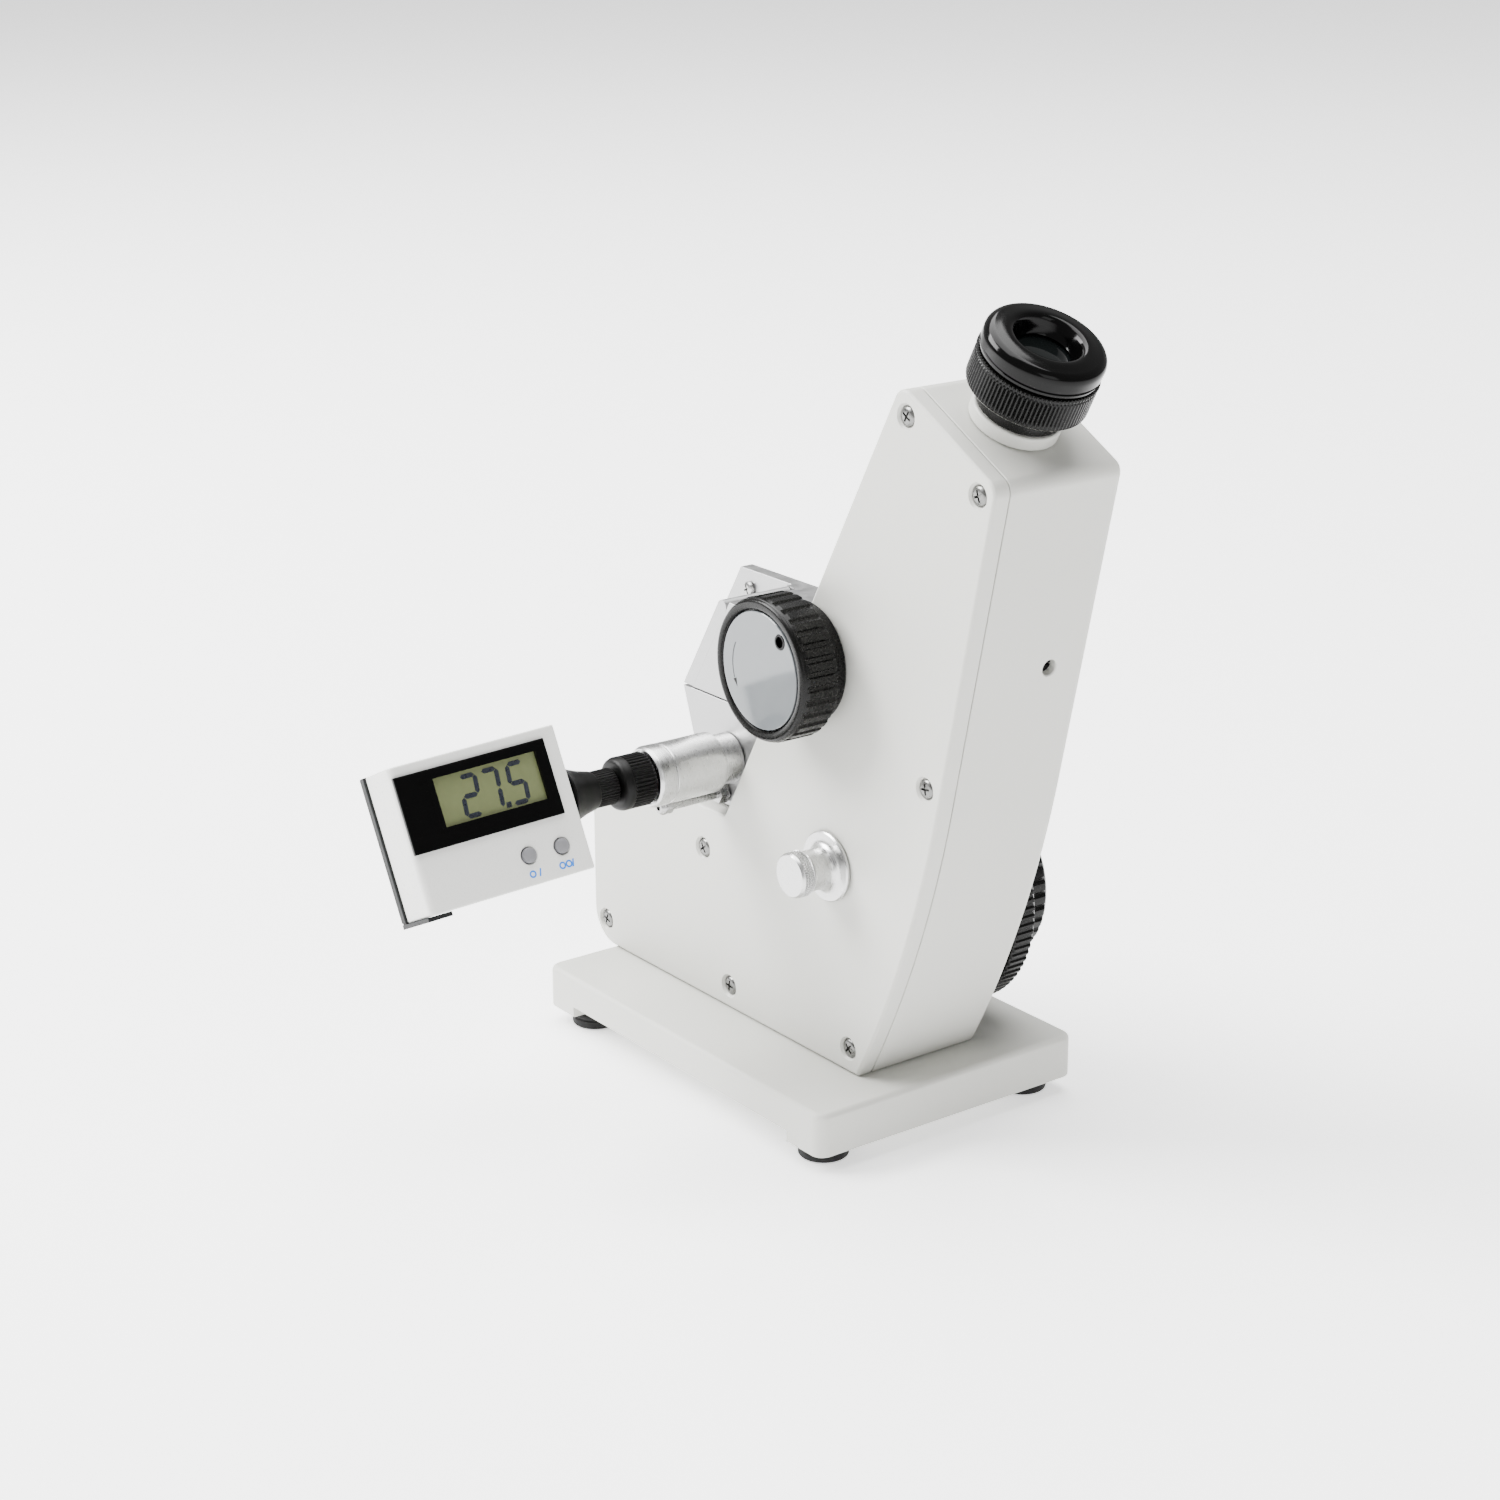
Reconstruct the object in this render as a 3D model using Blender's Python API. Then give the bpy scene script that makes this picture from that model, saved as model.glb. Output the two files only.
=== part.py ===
"""Bench refractometer of the Abbe type with a digital thermometer.

Lengths are millimetres in the instrument's own frame: x runs back towards the eyepiece, y across
(the side cover is at -y), z up from the bench, with x = y = 0 over the middle of the base.
MM turns them into metres. The last step moves everything so that the origin lies on the bench
under the middle of the bounding box.
"""

from math import acos, asin, atan2, cos, pi, radians, sin, tan

import bmesh
import bpy
from mathutils import Matrix, Vector

MM = 0.001
GAP = 0.3  # clearance between pieces that touch
EDGE = 1.0  # usual rounding of a cast edge

# Base plate and feet
BASE_LENGTH = 141.3
BASE_WIDTH = 97.0
BASE_BOTTOM = 5.0
BASE_TOP = 18.6
BASE_CORNER = 4.0
CHANNEL_TOP = 8.5
CHANNEL_FRONT = -56.0
CHANNEL_BACK = 55.0
FOOT_X = 59.0
FOOT_Y = 38.0
FOOT_RADIUS = 7.5
FOOT_PLACES = {
    "foot_front_near": (-FOOT_X, -FOOT_Y),
    "foot_front_far": (-FOOT_X, FOOT_Y),
    "foot_back_near": (FOOT_X, -FOOT_Y),
    "foot_back_far": (FOOT_X, FOOT_Y),
}
BOLT_PLACES = {"base_bolt_front": -45.0, "base_bolt_back": 30.0}
BOLT_SEAT = CHANNEL_TOP + 4.2

# Casing outline, seen from the side cover
CASING_BOTTOM = BASE_TOP + GAP
CASING_FRONT = -80.7
STEP_TOP = 80.9
STEP_RADIUS = 14.0
TOE_RADIUS = 11.0
SLANT_FOOT = (-9.1, STEP_TOP)
SLANT_TOP = (71.4, 226.1)
BACK_TOP = (111.1, 204.8)
HEAD_RADIUS = 4.5
BACK_LEAN = radians(12.57)
BACK_ARC_START = (90.0, 110.0)
BACK_ARC_RADIUS = 350.0
BACK_ARC_STEPS = 7
COVER_OUT = -23.3
COVER_IN = -17.9
CASING_IN = COVER_IN + GAP
CASING_FAR = 23.0
WALL = 3.8
FAR_WALL_IN = CASING_FAR - WALL
FAR_ROUND = 3.6
CALIBRATION_Y = 8.7
CALIBRATION_Z = 147.7

# Side cover screws: centres of the sunk heads
COVER_SCREWS = (
    (-74.0, 26.7),
    (-20.2, 67.2),
    (-7.2, 26.0),
    (51.5, 26.1),
    (84.3, 115.3),
    (74.2, 217.4),
    (103.8, 201.5),
)
SCREW_SINK_RADIUS = 3.1
SCREW_SINK_DEPTH = 1.6
SCREW_HEAD_RADIUS = 2.7
SCREW_SHANK_RADIUS = 1.4
BOSS_RADIUS = 4.4

# Telescope: the eyepiece's axis leaves the casing's top face square to it
SLANT = atan2(SLANT_TOP[1] - SLANT_FOOT[1], SLANT_TOP[0] - SLANT_FOOT[0])
SIGHT = radians(61.7)
EYE_X = 90.7
EYE_Z = 215.8
COLLAR_RADIUS = 12.7
RING_RADIUS = 17.2
CUP_RADIUS = 16.8
CUP_TOP = 28.3
CUP_HOLE_RADIUS = 9.8
BARREL_RADIUS = 14.4
BARREL_BORE = 12.2
BARREL_LOW = -102.0
BARREL_HIGH = -36.0
CELL_RADIUS = 11.8
CELL_LENGTH = 11.0
PINION_STATION = -74.7
CELL_CLEARANCE = 4.6

# Knobs on the far side
INDEX_X = 35.0
INDEX_Z = 61.0
INDEX_WHEEL_RADIUS = 36.0
INDEX_WHEEL_OUT = 31.5
INDEX_KNOB_RADIUS = 26.4
INDEX_KNOB_OUT = 45.0
SCALE_DISC_RADIUS = 27.0
MIRROR_PIVOT = (31.0, 101.0)
DISPERSION_RADIUS = 16.5
DISPERSION_OUT = 39.5

# Lock wheel and condenser on the near side
LOCK_X = 32.9
LOCK_Z = 140.1
LOCK_RADIUS = 21.0
LOCK_FLANGE_RADIUS = 17.5
LOCK_OUT = -41.5
LOCK_STEP = -29.0
LOCK_DISC_RADIUS = 17.05
CONDENSER_X = 42.0
CONDENSER_Z = 80.3
CONDENSER_FLANGE_RADIUS = 10.5
CONDENSER_CAP_RADIUS = 6.8
CONDENSER_OUT = -37.6

# Prism unit in front of the slanted wall. Both housings lean forward to a nose at the seam.
PRISM_NEAR = -19.5
PRISM_FAR = 12.2
PLATE_NEAR = 7.5
SEAM_LOW = 115.1
SEAM_HIGH = 115.5
LOWER_BOTTOM = 82.4
UPPER_TOP = 146.3
UPPER_FRONT_X = -16.2
NOSE_X = -35.2
LOWER_FRONT_X = -23.9
PLATE_FRONT_X = -42.0
PLATE_BOTTOM = 115.7
PLATE_SCREW = (-36.8, 140.3)
UPPER_CLEAR = 2.2  # room behind the upper housing, so that it can swing past the wall
SHIELD_THICK = 4.2
SHIELD_FAR = 5.2
REFLECTOR_THICK = 3.6
REFLECTOR_FAR = 8.6
STUB_RADIUS = 1.2
POCKET_Y = (-12.0, 5.0)
HINGE_Y = PRISM_FAR + 2.9
HINGE_Z = (SEAM_LOW + SEAM_HIGH) / 2
HINGE_BARREL = 2.5
HINGE_PIN = 1.2
HINGE_FRONT = -28.0
HINGE_BACK = 2.0

# Thermometer, along -y from the lower prism housing
STEM_X = -10.8
STEM_Z = 98.3
SLEEVE_END = -51.0
NUT_END = -62.0
STEM_TOP = -80.5
DISPLAY_NEAR = -81.5
DISPLAY_LENGTH = 52.9
DISPLAY_DEPTH = 16.5
DISPLAY_BACK_DEPTH = 3.0
DISPLAY_UP = 20.7
DISPLAY_DOWN = 22.1
DISPLAY_TILT = radians(25.6)
DISPLAY_ROLL = radians(1.9)  # the case sits a little askew on its stem
DISPLAY_YAW = radians(-3.4)
BEZEL_Y = (-134.1, -85.7)
BEZEL_Z = (-4.8, 17.6)
BEZEL_PROUD = 0.9
SCREEN_Y = (-122.6, -89.4)
SCREEN_Z = (0.5, 14.6)
BUTTON_HEIGHT = -13.5
BUTTON_PLACES = {"power_button": -100.2, "unit_button": -89.4}
NOZZLE_X = -13.7
NOZZLE_Z = 86.5
NOZZLE_LENGTH = 24.6


# ---------------------------------------------------------------- materials


def paint(name, colour, roughness, metallic=0.0):
    made = bpy.data.materials.new(name)
    made.use_nodes = True
    shader = made.node_tree.nodes["Principled BSDF"]
    shader.inputs["Base Color"].default_value = (*colour, 1.0)
    shader.inputs["Roughness"].default_value = roughness
    shader.inputs["Metallic"].default_value = metallic
    return made


# ---------------------------------------------------------------- shapes


def prism_between(points, low, high):
    """A closed outline of (x, z) points carried from y = low to y = high."""
    bm = bmesh.new()
    base = bm.faces.new([bm.verts.new((x, low, z)) for x, z in points])
    grown = bmesh.ops.extrude_face_region(bm, geom=[base])["geom"]
    lifted = [item for item in grown if isinstance(item, bmesh.types.BMVert)]
    bmesh.ops.translate(bm, verts=lifted, vec=(0, high - low, 0))
    bmesh.ops.recalc_face_normals(bm, faces=bm.faces)
    return bm


def block(x_range, y_range, z_range):
    bm = bmesh.new()
    size = [high - low for low, high in (x_range, y_range, z_range)]
    middle = [(high + low) / 2 for low, high in (x_range, y_range, z_range)]
    bmesh.ops.create_cube(bm, size=1.0, matrix=Matrix.Translation(middle) @ Matrix.Diagonal((*size, 1)))
    return bm


def turned(profile, frame, steps=20):
    """A solid turned from (radius, height) points about the z axis of a frame."""
    bm = bmesh.new()
    verts = [bm.verts.new((radius, 0, height)) for radius, height in profile]
    edges = []
    for pair in zip(verts, verts[1:] + verts[:1]):
        if pair[0].co.x > 0 or pair[1].co.x > 0:
            edges.append(bm.edges.new(pair))
    about = {"cent": (0, 0, 0), "axis": (0, 0, 1), "angle": 2 * pi}
    bmesh.ops.spin(bm, geom=verts + edges, steps=steps, use_merge=True, **about)
    bmesh.ops.remove_doubles(bm, verts=bm.verts, dist=1e-5)
    bmesh.ops.recalc_face_normals(bm, faces=bm.faces)
    bmesh.ops.transform(bm, matrix=frame, verts=bm.verts)
    return bm


def across(x, z, y=0.0):
    """A frame whose z axis points along -y, for what sticks out of the side cover."""
    return Matrix.Translation((x, y, z)) @ Matrix.Rotation(pi / 2, 4, "X")


def beyond(x, z, y=0.0):
    """A frame whose z axis points along +y, for what sticks out of the far wall."""
    return Matrix.Translation((x, y, z)) @ Matrix.Rotation(-pi / 2, 4, "X")


def upright(x, y, z=0.0):
    return Matrix.Translation((x, y, z))


def sight_frame(station=0.0):
    """A frame on the telescope's axis, z towards the eye, at a station measured from the top face."""
    along = Vector((cos(SIGHT), 0, sin(SIGHT)))
    place = Vector((EYE_X, 0, EYE_Z)) + station * along
    return Matrix.Translation(place) @ Matrix.Rotation(pi / 2 - SIGHT, 4, "Y")


def display_frame():
    """A frame on the stem's axis: x out of the display's face, y along the face, z up it."""
    joint = Matrix.Translation((0, STEM_TOP, 0))
    askew = Matrix.Rotation(DISPLAY_ROLL, 4, "X") @ Matrix.Rotation(DISPLAY_YAW, 4, "Z")
    tilt = Matrix.Rotation(-DISPLAY_TILT, 4, "Y")
    return Matrix.Translation((STEM_X, 0, STEM_Z)) @ tilt @ joint @ askew @ joint.inverted()


def moved(bm, frame):
    bmesh.ops.transform(bm, matrix=frame, verts=bm.verts)
    return bm


def cylinder(radius, low, high, frame, steps=16):
    return turned([(0, low), (radius, low), (radius, high), (0, high)], frame, steps)


def tube(radius, bore, low, high, frame, steps=20):
    return turned([(bore, low), (radius, low), (radius, high), (bore, high)], frame, steps)


def rounded(corners, steps=4):
    """An outline of (x, z, radius) corners, each corner turned into an arc."""
    points = []
    count = len(corners)
    for index, (x, z, radius) in enumerate(corners):
        here = Vector((x, z))
        before = (Vector(corners[index - 1][:2]) - here).normalized()
        after = (Vector(corners[(index + 1) % count][:2]) - here).normalized()
        if radius == 0:
            points.append((x, z))
            continue
        half = acos(max(-1.0, min(1.0, before.dot(after)))) / 2
        reach = radius / tan(half)
        centre = here + (before + after).normalized() * (radius / sin(half))
        start = here + before * reach - centre
        end = here + after * reach - centre
        first = atan2(start.y, start.x)
        sweep = (atan2(end.y, end.x) - first + pi) % (2 * pi) - pi
        for step in range(steps + 1):
            angle = first + sweep * step / steps
            points.append((centre.x + radius * cos(angle), centre.y + radius * sin(angle)))
    return points


def offset_outline(points, distance):
    """The outline moved inwards by a distance; the points run clockwise as seen with x right, z up."""
    made = []
    count = len(points)
    for index, point in enumerate(points):
        here = Vector(point)
        into = (here - Vector(points[index - 1])).normalized()
        out = (Vector(points[(index + 1) % count]) - here).normalized()
        side = (into + out).normalized()
        inward = Vector((side.y, -side.x))
        made.append(tuple(here + inward * distance / max(0.5, inward.dot(Vector((into.y, -into.x))))))
    return made


def casing_outline():
    """Clockwise from the toe: up the front, along the step, up the slant, over the head, down the back."""
    centre_x = BACK_ARC_START[0] - BACK_ARC_RADIUS * cos(BACK_LEAN)
    centre_z = BACK_ARC_START[1] + BACK_ARC_RADIUS * sin(BACK_LEAN)
    last = asin((centre_z - CASING_BOTTOM) / BACK_ARC_RADIUS)
    arc = []
    for step in range(BACK_ARC_STEPS + 1):
        angle = BACK_LEAN + (last - BACK_LEAN) * step / BACK_ARC_STEPS
        arc.append((centre_x + BACK_ARC_RADIUS * cos(angle), centre_z - BACK_ARC_RADIUS * sin(angle)))
    corners = [
        (CASING_FRONT, CASING_BOTTOM, TOE_RADIUS),
        (CASING_FRONT, STEP_TOP, STEP_RADIUS),
        (*SLANT_FOOT, 1.5),
        (*SLANT_TOP, HEAD_RADIUS),
        (*BACK_TOP, HEAD_RADIUS),
    ]
    return rounded(corners + [(x, z, 0) for x, z in arc])


def slant_x(z, clear=0.0):
    """Where the slanted front wall is at a height, moved forward by a clearance square to it."""
    return SLANT_FOOT[0] + (z - SLANT_FOOT[1]) / tan(SLANT) - clear / sin(SLANT)


# ---------------------------------------------------------------- nodes


def holder(name, place=(0, 0, 0)):
    made = bpy.data.objects.new(name, None)
    made.location = Vector(place) * MM
    bpy.context.scene.collection.objects.link(made)
    return made


def link(name, bm, pivot):
    """Turns a bmesh in the instrument's frame into an object with its origin at the pivot."""
    pivot = Vector(pivot)
    bmesh.ops.translate(bm, verts=bm.verts, vec=-pivot)
    bmesh.ops.scale(bm, verts=bm.verts, vec=(MM, MM, MM))
    mesh = bpy.data.meshes.new(name)
    bm.to_mesh(mesh)
    bm.free()
    made = bpy.data.objects.new(name, mesh)
    made.location = pivot * MM
    made.parent = ROOT
    bpy.context.scene.collection.objects.link(made)
    return made


def node(name, bm, material, pivot=(0, 0, 0), add=(), cut=()):
    """A sub-part: its first shape, with other shapes joined to it and then cutters taken away."""
    made = link(name, bm, pivot)
    made.data.materials.append(material)
    made.data.shade_smooth()
    made.data.set_sharp_from_angle(angle=radians(35))
    for operation, shapes in (("UNION", add), ("DIFFERENCE", cut)):
        for index, shape in enumerate(shapes):
            helper = link(f"{name}_{operation.lower()}_{index}", shape, pivot)
            helper.hide_render = True
            helper.display_type = "WIRE"
            step = made.modifiers.new(f"{operation.lower()}_{index}", "BOOLEAN")
            step.operation = operation
            step.object = helper
    return made


def ease(bm, faces, size, segments=2):
    """Rounds the edges round some faces."""
    edges = list({edge for face in faces for edge in face.edges})
    bmesh.ops.bevel(bm, geom=edges, offset=size, segments=segments, profile=0.5, affect="EDGES")
    return bm


def faces_facing(bm, direction):
    direction = Vector(direction)
    bm.normal_update()
    return [face for face in bm.faces if face.normal.dot(direction) > 0.99]


# ---------------------------------------------------------------- base


def build_base(body, rubber, steel):
    corners = [
        (-BASE_LENGTH / 2, -BASE_WIDTH / 2, BASE_CORNER),
        (-BASE_LENGTH / 2, BASE_WIDTH / 2, BASE_CORNER),
        (BASE_LENGTH / 2, BASE_WIDTH / 2, BASE_CORNER),
        (BASE_LENGTH / 2, -BASE_WIDTH / 2, BASE_CORNER),
    ]
    plate = prism_between(rounded(corners), 0, BASE_TOP - BASE_BOTTOM)
    lay_down = Matrix.Translation((0, 0, BASE_BOTTOM)) @ Matrix.Rotation(pi / 2, 4, "X")
    moved(plate, lay_down)
    ease(plate, faces_facing(plate, (0, 0, 1)), EDGE)
    cuts = [block((CHANNEL_FRONT, CHANNEL_BACK), (-BASE_WIDTH, BASE_WIDTH), (0, CHANNEL_TOP))]
    for x in BOLT_PLACES.values():
        step = [(0, 0), (4.6, 0), (4.6, BOLT_SEAT), (2.3, BOLT_SEAT)]
        step += [(2.3, BASE_TOP + 5), (0, BASE_TOP + 5)]
        cuts.append(turned(step, upright(x, 0), 14))
    for x, y in FOOT_PLACES.values():
        cuts.append(cylinder(1.6, 0, BASE_BOTTOM + 6, upright(x, y), 10))
    node("base_plate", plate, body, cut=cuts)
    for name, (x, y) in FOOT_PLACES.items():
        profile = [(0, 1.2), (2.4, 1.2), (2.4, 0), (FOOT_RADIUS - 1.0, 0), (FOOT_RADIUS, 1.0)]
        profile += [(FOOT_RADIUS, BASE_BOTTOM - GAP), (1.3, BASE_BOTTOM - GAP)]
        profile += [(1.3, BASE_BOTTOM + 5), (0, BASE_BOTTOM + 5)]
        node(name, turned(profile, upright(x, y), 16), rubber)
    for name, x in BOLT_PLACES.items():
        head = CHANNEL_TOP + 0.4
        seat = BOLT_SEAT - GAP
        profile = [(0, head + 2.0), (1.8, head + 2.0), (1.8, head), (4.2, head), (4.2, seat)]
        profile += [(2.0, seat), (2.0, CASING_BOTTOM + 7), (0, CASING_BOTTOM + 7)]
        node(name, turned(profile, upright(x, 0), 14), steel)


# ---------------------------------------------------------------- casing


def calibration_frame():
    """A frame at the hole in the back wall, z out of the wall."""
    x = BACK_TOP[0] - (BACK_TOP[1] - CALIBRATION_Z) * tan(BACK_LEAN)
    out = Vector((cos(BACK_LEAN), 0, -sin(BACK_LEAN)))
    turn = out.to_track_quat("Z", "Y").to_matrix().to_4x4()
    return Matrix.Translation((x, CALIBRATION_Y, CALIBRATION_Z)) @ turn


def build_casing(body, steel):
    outline = casing_outline()
    shell = prism_between(outline, CASING_IN, CASING_FAR)
    ease(shell, faces_facing(shell, (0, 1, 0)), FAR_ROUND, 3)
    cavity = prism_between(offset_outline(outline, WALL), CASING_IN - 5, FAR_WALL_IN)
    bosses = []
    holes = []
    for x, z in COVER_SCREWS:
        bosses.append(cylinder(BOSS_RADIUS, -COVER_IN - GAP, -FAR_WALL_IN - 1.5, across(x, z), 12))
        holes.append(cylinder(1.7, -COVER_IN - 12, -COVER_IN + 5, across(x, z), 10))
    for x in BOLT_PLACES.values():
        bosses.append(cylinder(5.5, CASING_BOTTOM + 1, CASING_BOTTOM + 9, upright(x, 0), 14))
        holes.append(cylinder(2.3, 0, CASING_BOTTOM + 7.6, upright(x, 0), 12))
    holes += [
        cylinder(11.3, -9, 6, sight_frame(), 20),
        cylinder(2.4, -12, 5, calibration_frame(), 14),
        cylinder(4.35, 10, 40, beyond(INDEX_X, INDEX_Z), 16),
        cylinder(3.35, 10, 40, beyond(*pinion_place()), 14),
        block((slant_x(109) - 8, slant_x(109) + 14), (-8, 8), (104, 114)),
    ]
    casing = node("casing", shell, body, cut=[cavity])
    extend(casing, "UNION", bosses)
    extend(casing, "DIFFERENCE", holes)

    plate = prism_between(outline, COVER_OUT, COVER_IN)
    ease(plate, faces_facing(plate, (0, -1, 0)), EDGE)
    cover_holes = []
    for x, z in COVER_SCREWS:
        cover_holes.append(cylinder(1.7, 0, 40, across(x, z), 10))
        sink = -COVER_OUT - SCREW_SINK_DEPTH
        cover_holes.append(cylinder(SCREW_SINK_RADIUS, sink, 40, across(x, z), 14))
    cover_holes.append(cylinder(3.9, 0, 40, across(LOCK_X, LOCK_Z), 16))
    cover_holes.append(cylinder(5.6, 0, 40, across(CONDENSER_X, CONDENSER_Z), 16))
    node("side_cover", plate, body, cut=cover_holes)

    for number, (x, z) in enumerate(COVER_SCREWS, 1):
        seat = -COVER_OUT - SCREW_SINK_DEPTH + GAP
        profile = [(0, -COVER_IN - 9), (SCREW_SHANK_RADIUS, -COVER_IN - 9), (SCREW_SHANK_RADIUS, seat)]
        profile += [(SCREW_HEAD_RADIUS, seat), (SCREW_HEAD_RADIUS, seat + 0.7)]
        profile += [(SCREW_HEAD_RADIUS * 0.75, seat + 1.2), (0, seat + 1.3)]
        node(f"cover_screw_{number}", turned(profile, across(x, z), 12), steel)

    slot = block((-3, 3), (-0.35, 0.35), (-3.2, 0))
    moved(slot, calibration_frame())
    plug = cylinder(2.1, -11, -2.2, calibration_frame(), 14)
    node("calibration_screw", plug, steel, pivot=calibration_frame().translation, cut=[slot])


def extend(target, operation, shapes):
    """Adds further Boolean steps to a node that has no pivot of its own."""
    for shape in shapes:
        name = f"{target.name}_{operation.lower()}_{len(target.modifiers)}"
        helper = link(name, shape, (0, 0, 0))
        helper.hide_render = True
        helper.display_type = "WIRE"
        step = target.modifiers.new(name, "BOOLEAN")
        step.operation = operation
        step.object = helper


# ---------------------------------------------------------------- telescope


def pinion_place():
    """(x, z) where the dispersion shaft meets the telescope's axis."""
    return EYE_X + PINION_STATION * cos(SIGHT), EYE_Z + PINION_STATION * sin(SIGHT)


def build_eyepiece(body, black, gloss, glass):
    at = sight_frame()
    pivot = (EYE_X, 0, EYE_Z)
    collar = [(9.8, -8), (11.0, -8), (11.0, GAP), (COLLAR_RADIUS, GAP)]
    collar += [(COLLAR_RADIUS, 3.7), (COLLAR_RADIUS - 0.5, 4.2), (9.8, 4.2)]
    node("eyepiece_collar", turned(collar, at, 24), body, pivot=pivot)
    draw = [(7.6, -12), (9.3, -12), (9.3, 4.6), (12.2, 4.6), (12.2, 9.2), (10.4, 9.2)]
    draw += [(10.4, 18.6), (7.6, 18.6)]
    node("eyepiece_tube", turned(draw, at, 24), black, pivot=pivot)
    ring = [(10.8, 9.6), (RING_RADIUS - 1, 9.6), (RING_RADIUS, 10.6), (RING_RADIUS, 20.0)]
    ring += [(RING_RADIUS - 0.5, 20.5), (7.9, 20.5), (7.9, 19.2), (10.8, 19.2)]
    node("focusing_ring", turned(ring, at, 32), black, pivot=pivot)
    cup = [(9.3, 20.8), (CUP_RADIUS - 0.3, 20.8), (CUP_RADIUS, 22.0), (CUP_RADIUS, 25.2)]
    cup += [(CUP_RADIUS - 1.2, 26.9), (CUP_RADIUS - 3.2, 28.0), (11.6, CUP_TOP)]
    cup += [(CUP_HOLE_RADIUS + 0.4, 28.1), (CUP_HOLE_RADIUS - 0.5, 27.2), (7.8, 23.4), (9.3, 23.4)]
    node("eyecup", turned(cup, at, 32), gloss, pivot=pivot)
    lens = [(0, 20.4), (4, 20.55), (7.4, 20.8), (8.9, 20.8), (8.9, 22.4), (6.5, 22.8), (0, 23.2)]
    node("eye_lens", turned(lens, at, 20), glass, pivot=pivot)


def build_telescope(metal, black, glass):
    barrel = tube(BARREL_RADIUS, BARREL_BORE, BARREL_LOW, BARREL_HIGH, sight_frame(), 24)
    feet = []
    for station in (BARREL_LOW + 6, BARREL_HIGH - 8):
        foot = block((-5, 5), (BARREL_BORE + 1.2, FAR_WALL_IN - GAP), (-4, 4))
        feet.append(moved(foot, sight_frame(station)))
    ledge = tube(BARREL_RADIUS - 1, 9.0, BARREL_LOW, BARREL_LOW + 2.5, sight_frame(), 24)
    window = cylinder(6.0, 8, 22, beyond(*pinion_place()), 16)
    node("telescope_barrel", barrel, black, add=[*feet, ledge], cut=[window])
    lens = [(0, 2.6), (5, 2.8), (8, 3.4), (11.9, 3.4), (11.9, 6.6), (7, 7.2), (0, 7.6)]
    node("objective_lens", turned(lens, sight_frame(BARREL_LOW), 20), glass)
    reticle_low = BARREL_HIGH - 3
    node("reticle", cylinder(11.9, reticle_low, reticle_low + 2, sight_frame(), 20), glass)
    x, z = pinion_place()
    half = CELL_CLEARANCE
    for name, low in (("compensator_cell_lower", -half - CELL_LENGTH), ("compensator_cell_upper", half)):
        ends = (low, low + CELL_LENGTH)
        outer, inner = (CELL_RADIUS, 7.5)
        shape = tube(outer, inner, *ends, sight_frame(PINION_STATION), 20)
        bridge = block((-8, 8), (-3.5, 3.5), (ends[0] + 2, ends[1] - 2))
        moved(bridge, sight_frame(PINION_STATION))
        node(name, shape, metal, pivot=(x, 0, z), add=[bridge])


def build_dispersion(black, metal, silver):
    x, z = pinion_place()
    near_wall = CASING_FAR + GAP
    at = beyond(x, z)
    pivot = (x, 0, z)
    ring = tube(DISPERSION_RADIUS + 2.5, 3.5, near_wall, near_wall + 3.2, at, 24)
    node("dispersion_scale_ring", ring, silver, pivot=pivot)
    out = DISPERSION_OUT
    rim = DISPERSION_RADIUS
    knob = [(3.3, near_wall + 3.7), (rim, near_wall + 3.7), (rim, out - 1), (rim - 1, out), (0, out)]
    knob += [(0, out - 3), (3.3, out - 3)]
    node("dispersion_knob", turned(knob, at, 24), black, pivot=pivot)
    pinion = BARREL_RADIUS + 1.2
    shaft = [(0, pinion - 6), (3.8, pinion - 6), (5.2, pinion - 2), (5.2, pinion), (3.0, pinion)]
    shaft += [(3.0, DISPERSION_OUT - 3.4), (0, DISPERSION_OUT - 3.4)]
    node("dispersion_shaft", turned(shaft, at, 16), metal, pivot=pivot)


# ---------------------------------------------------------------- index drive


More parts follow.
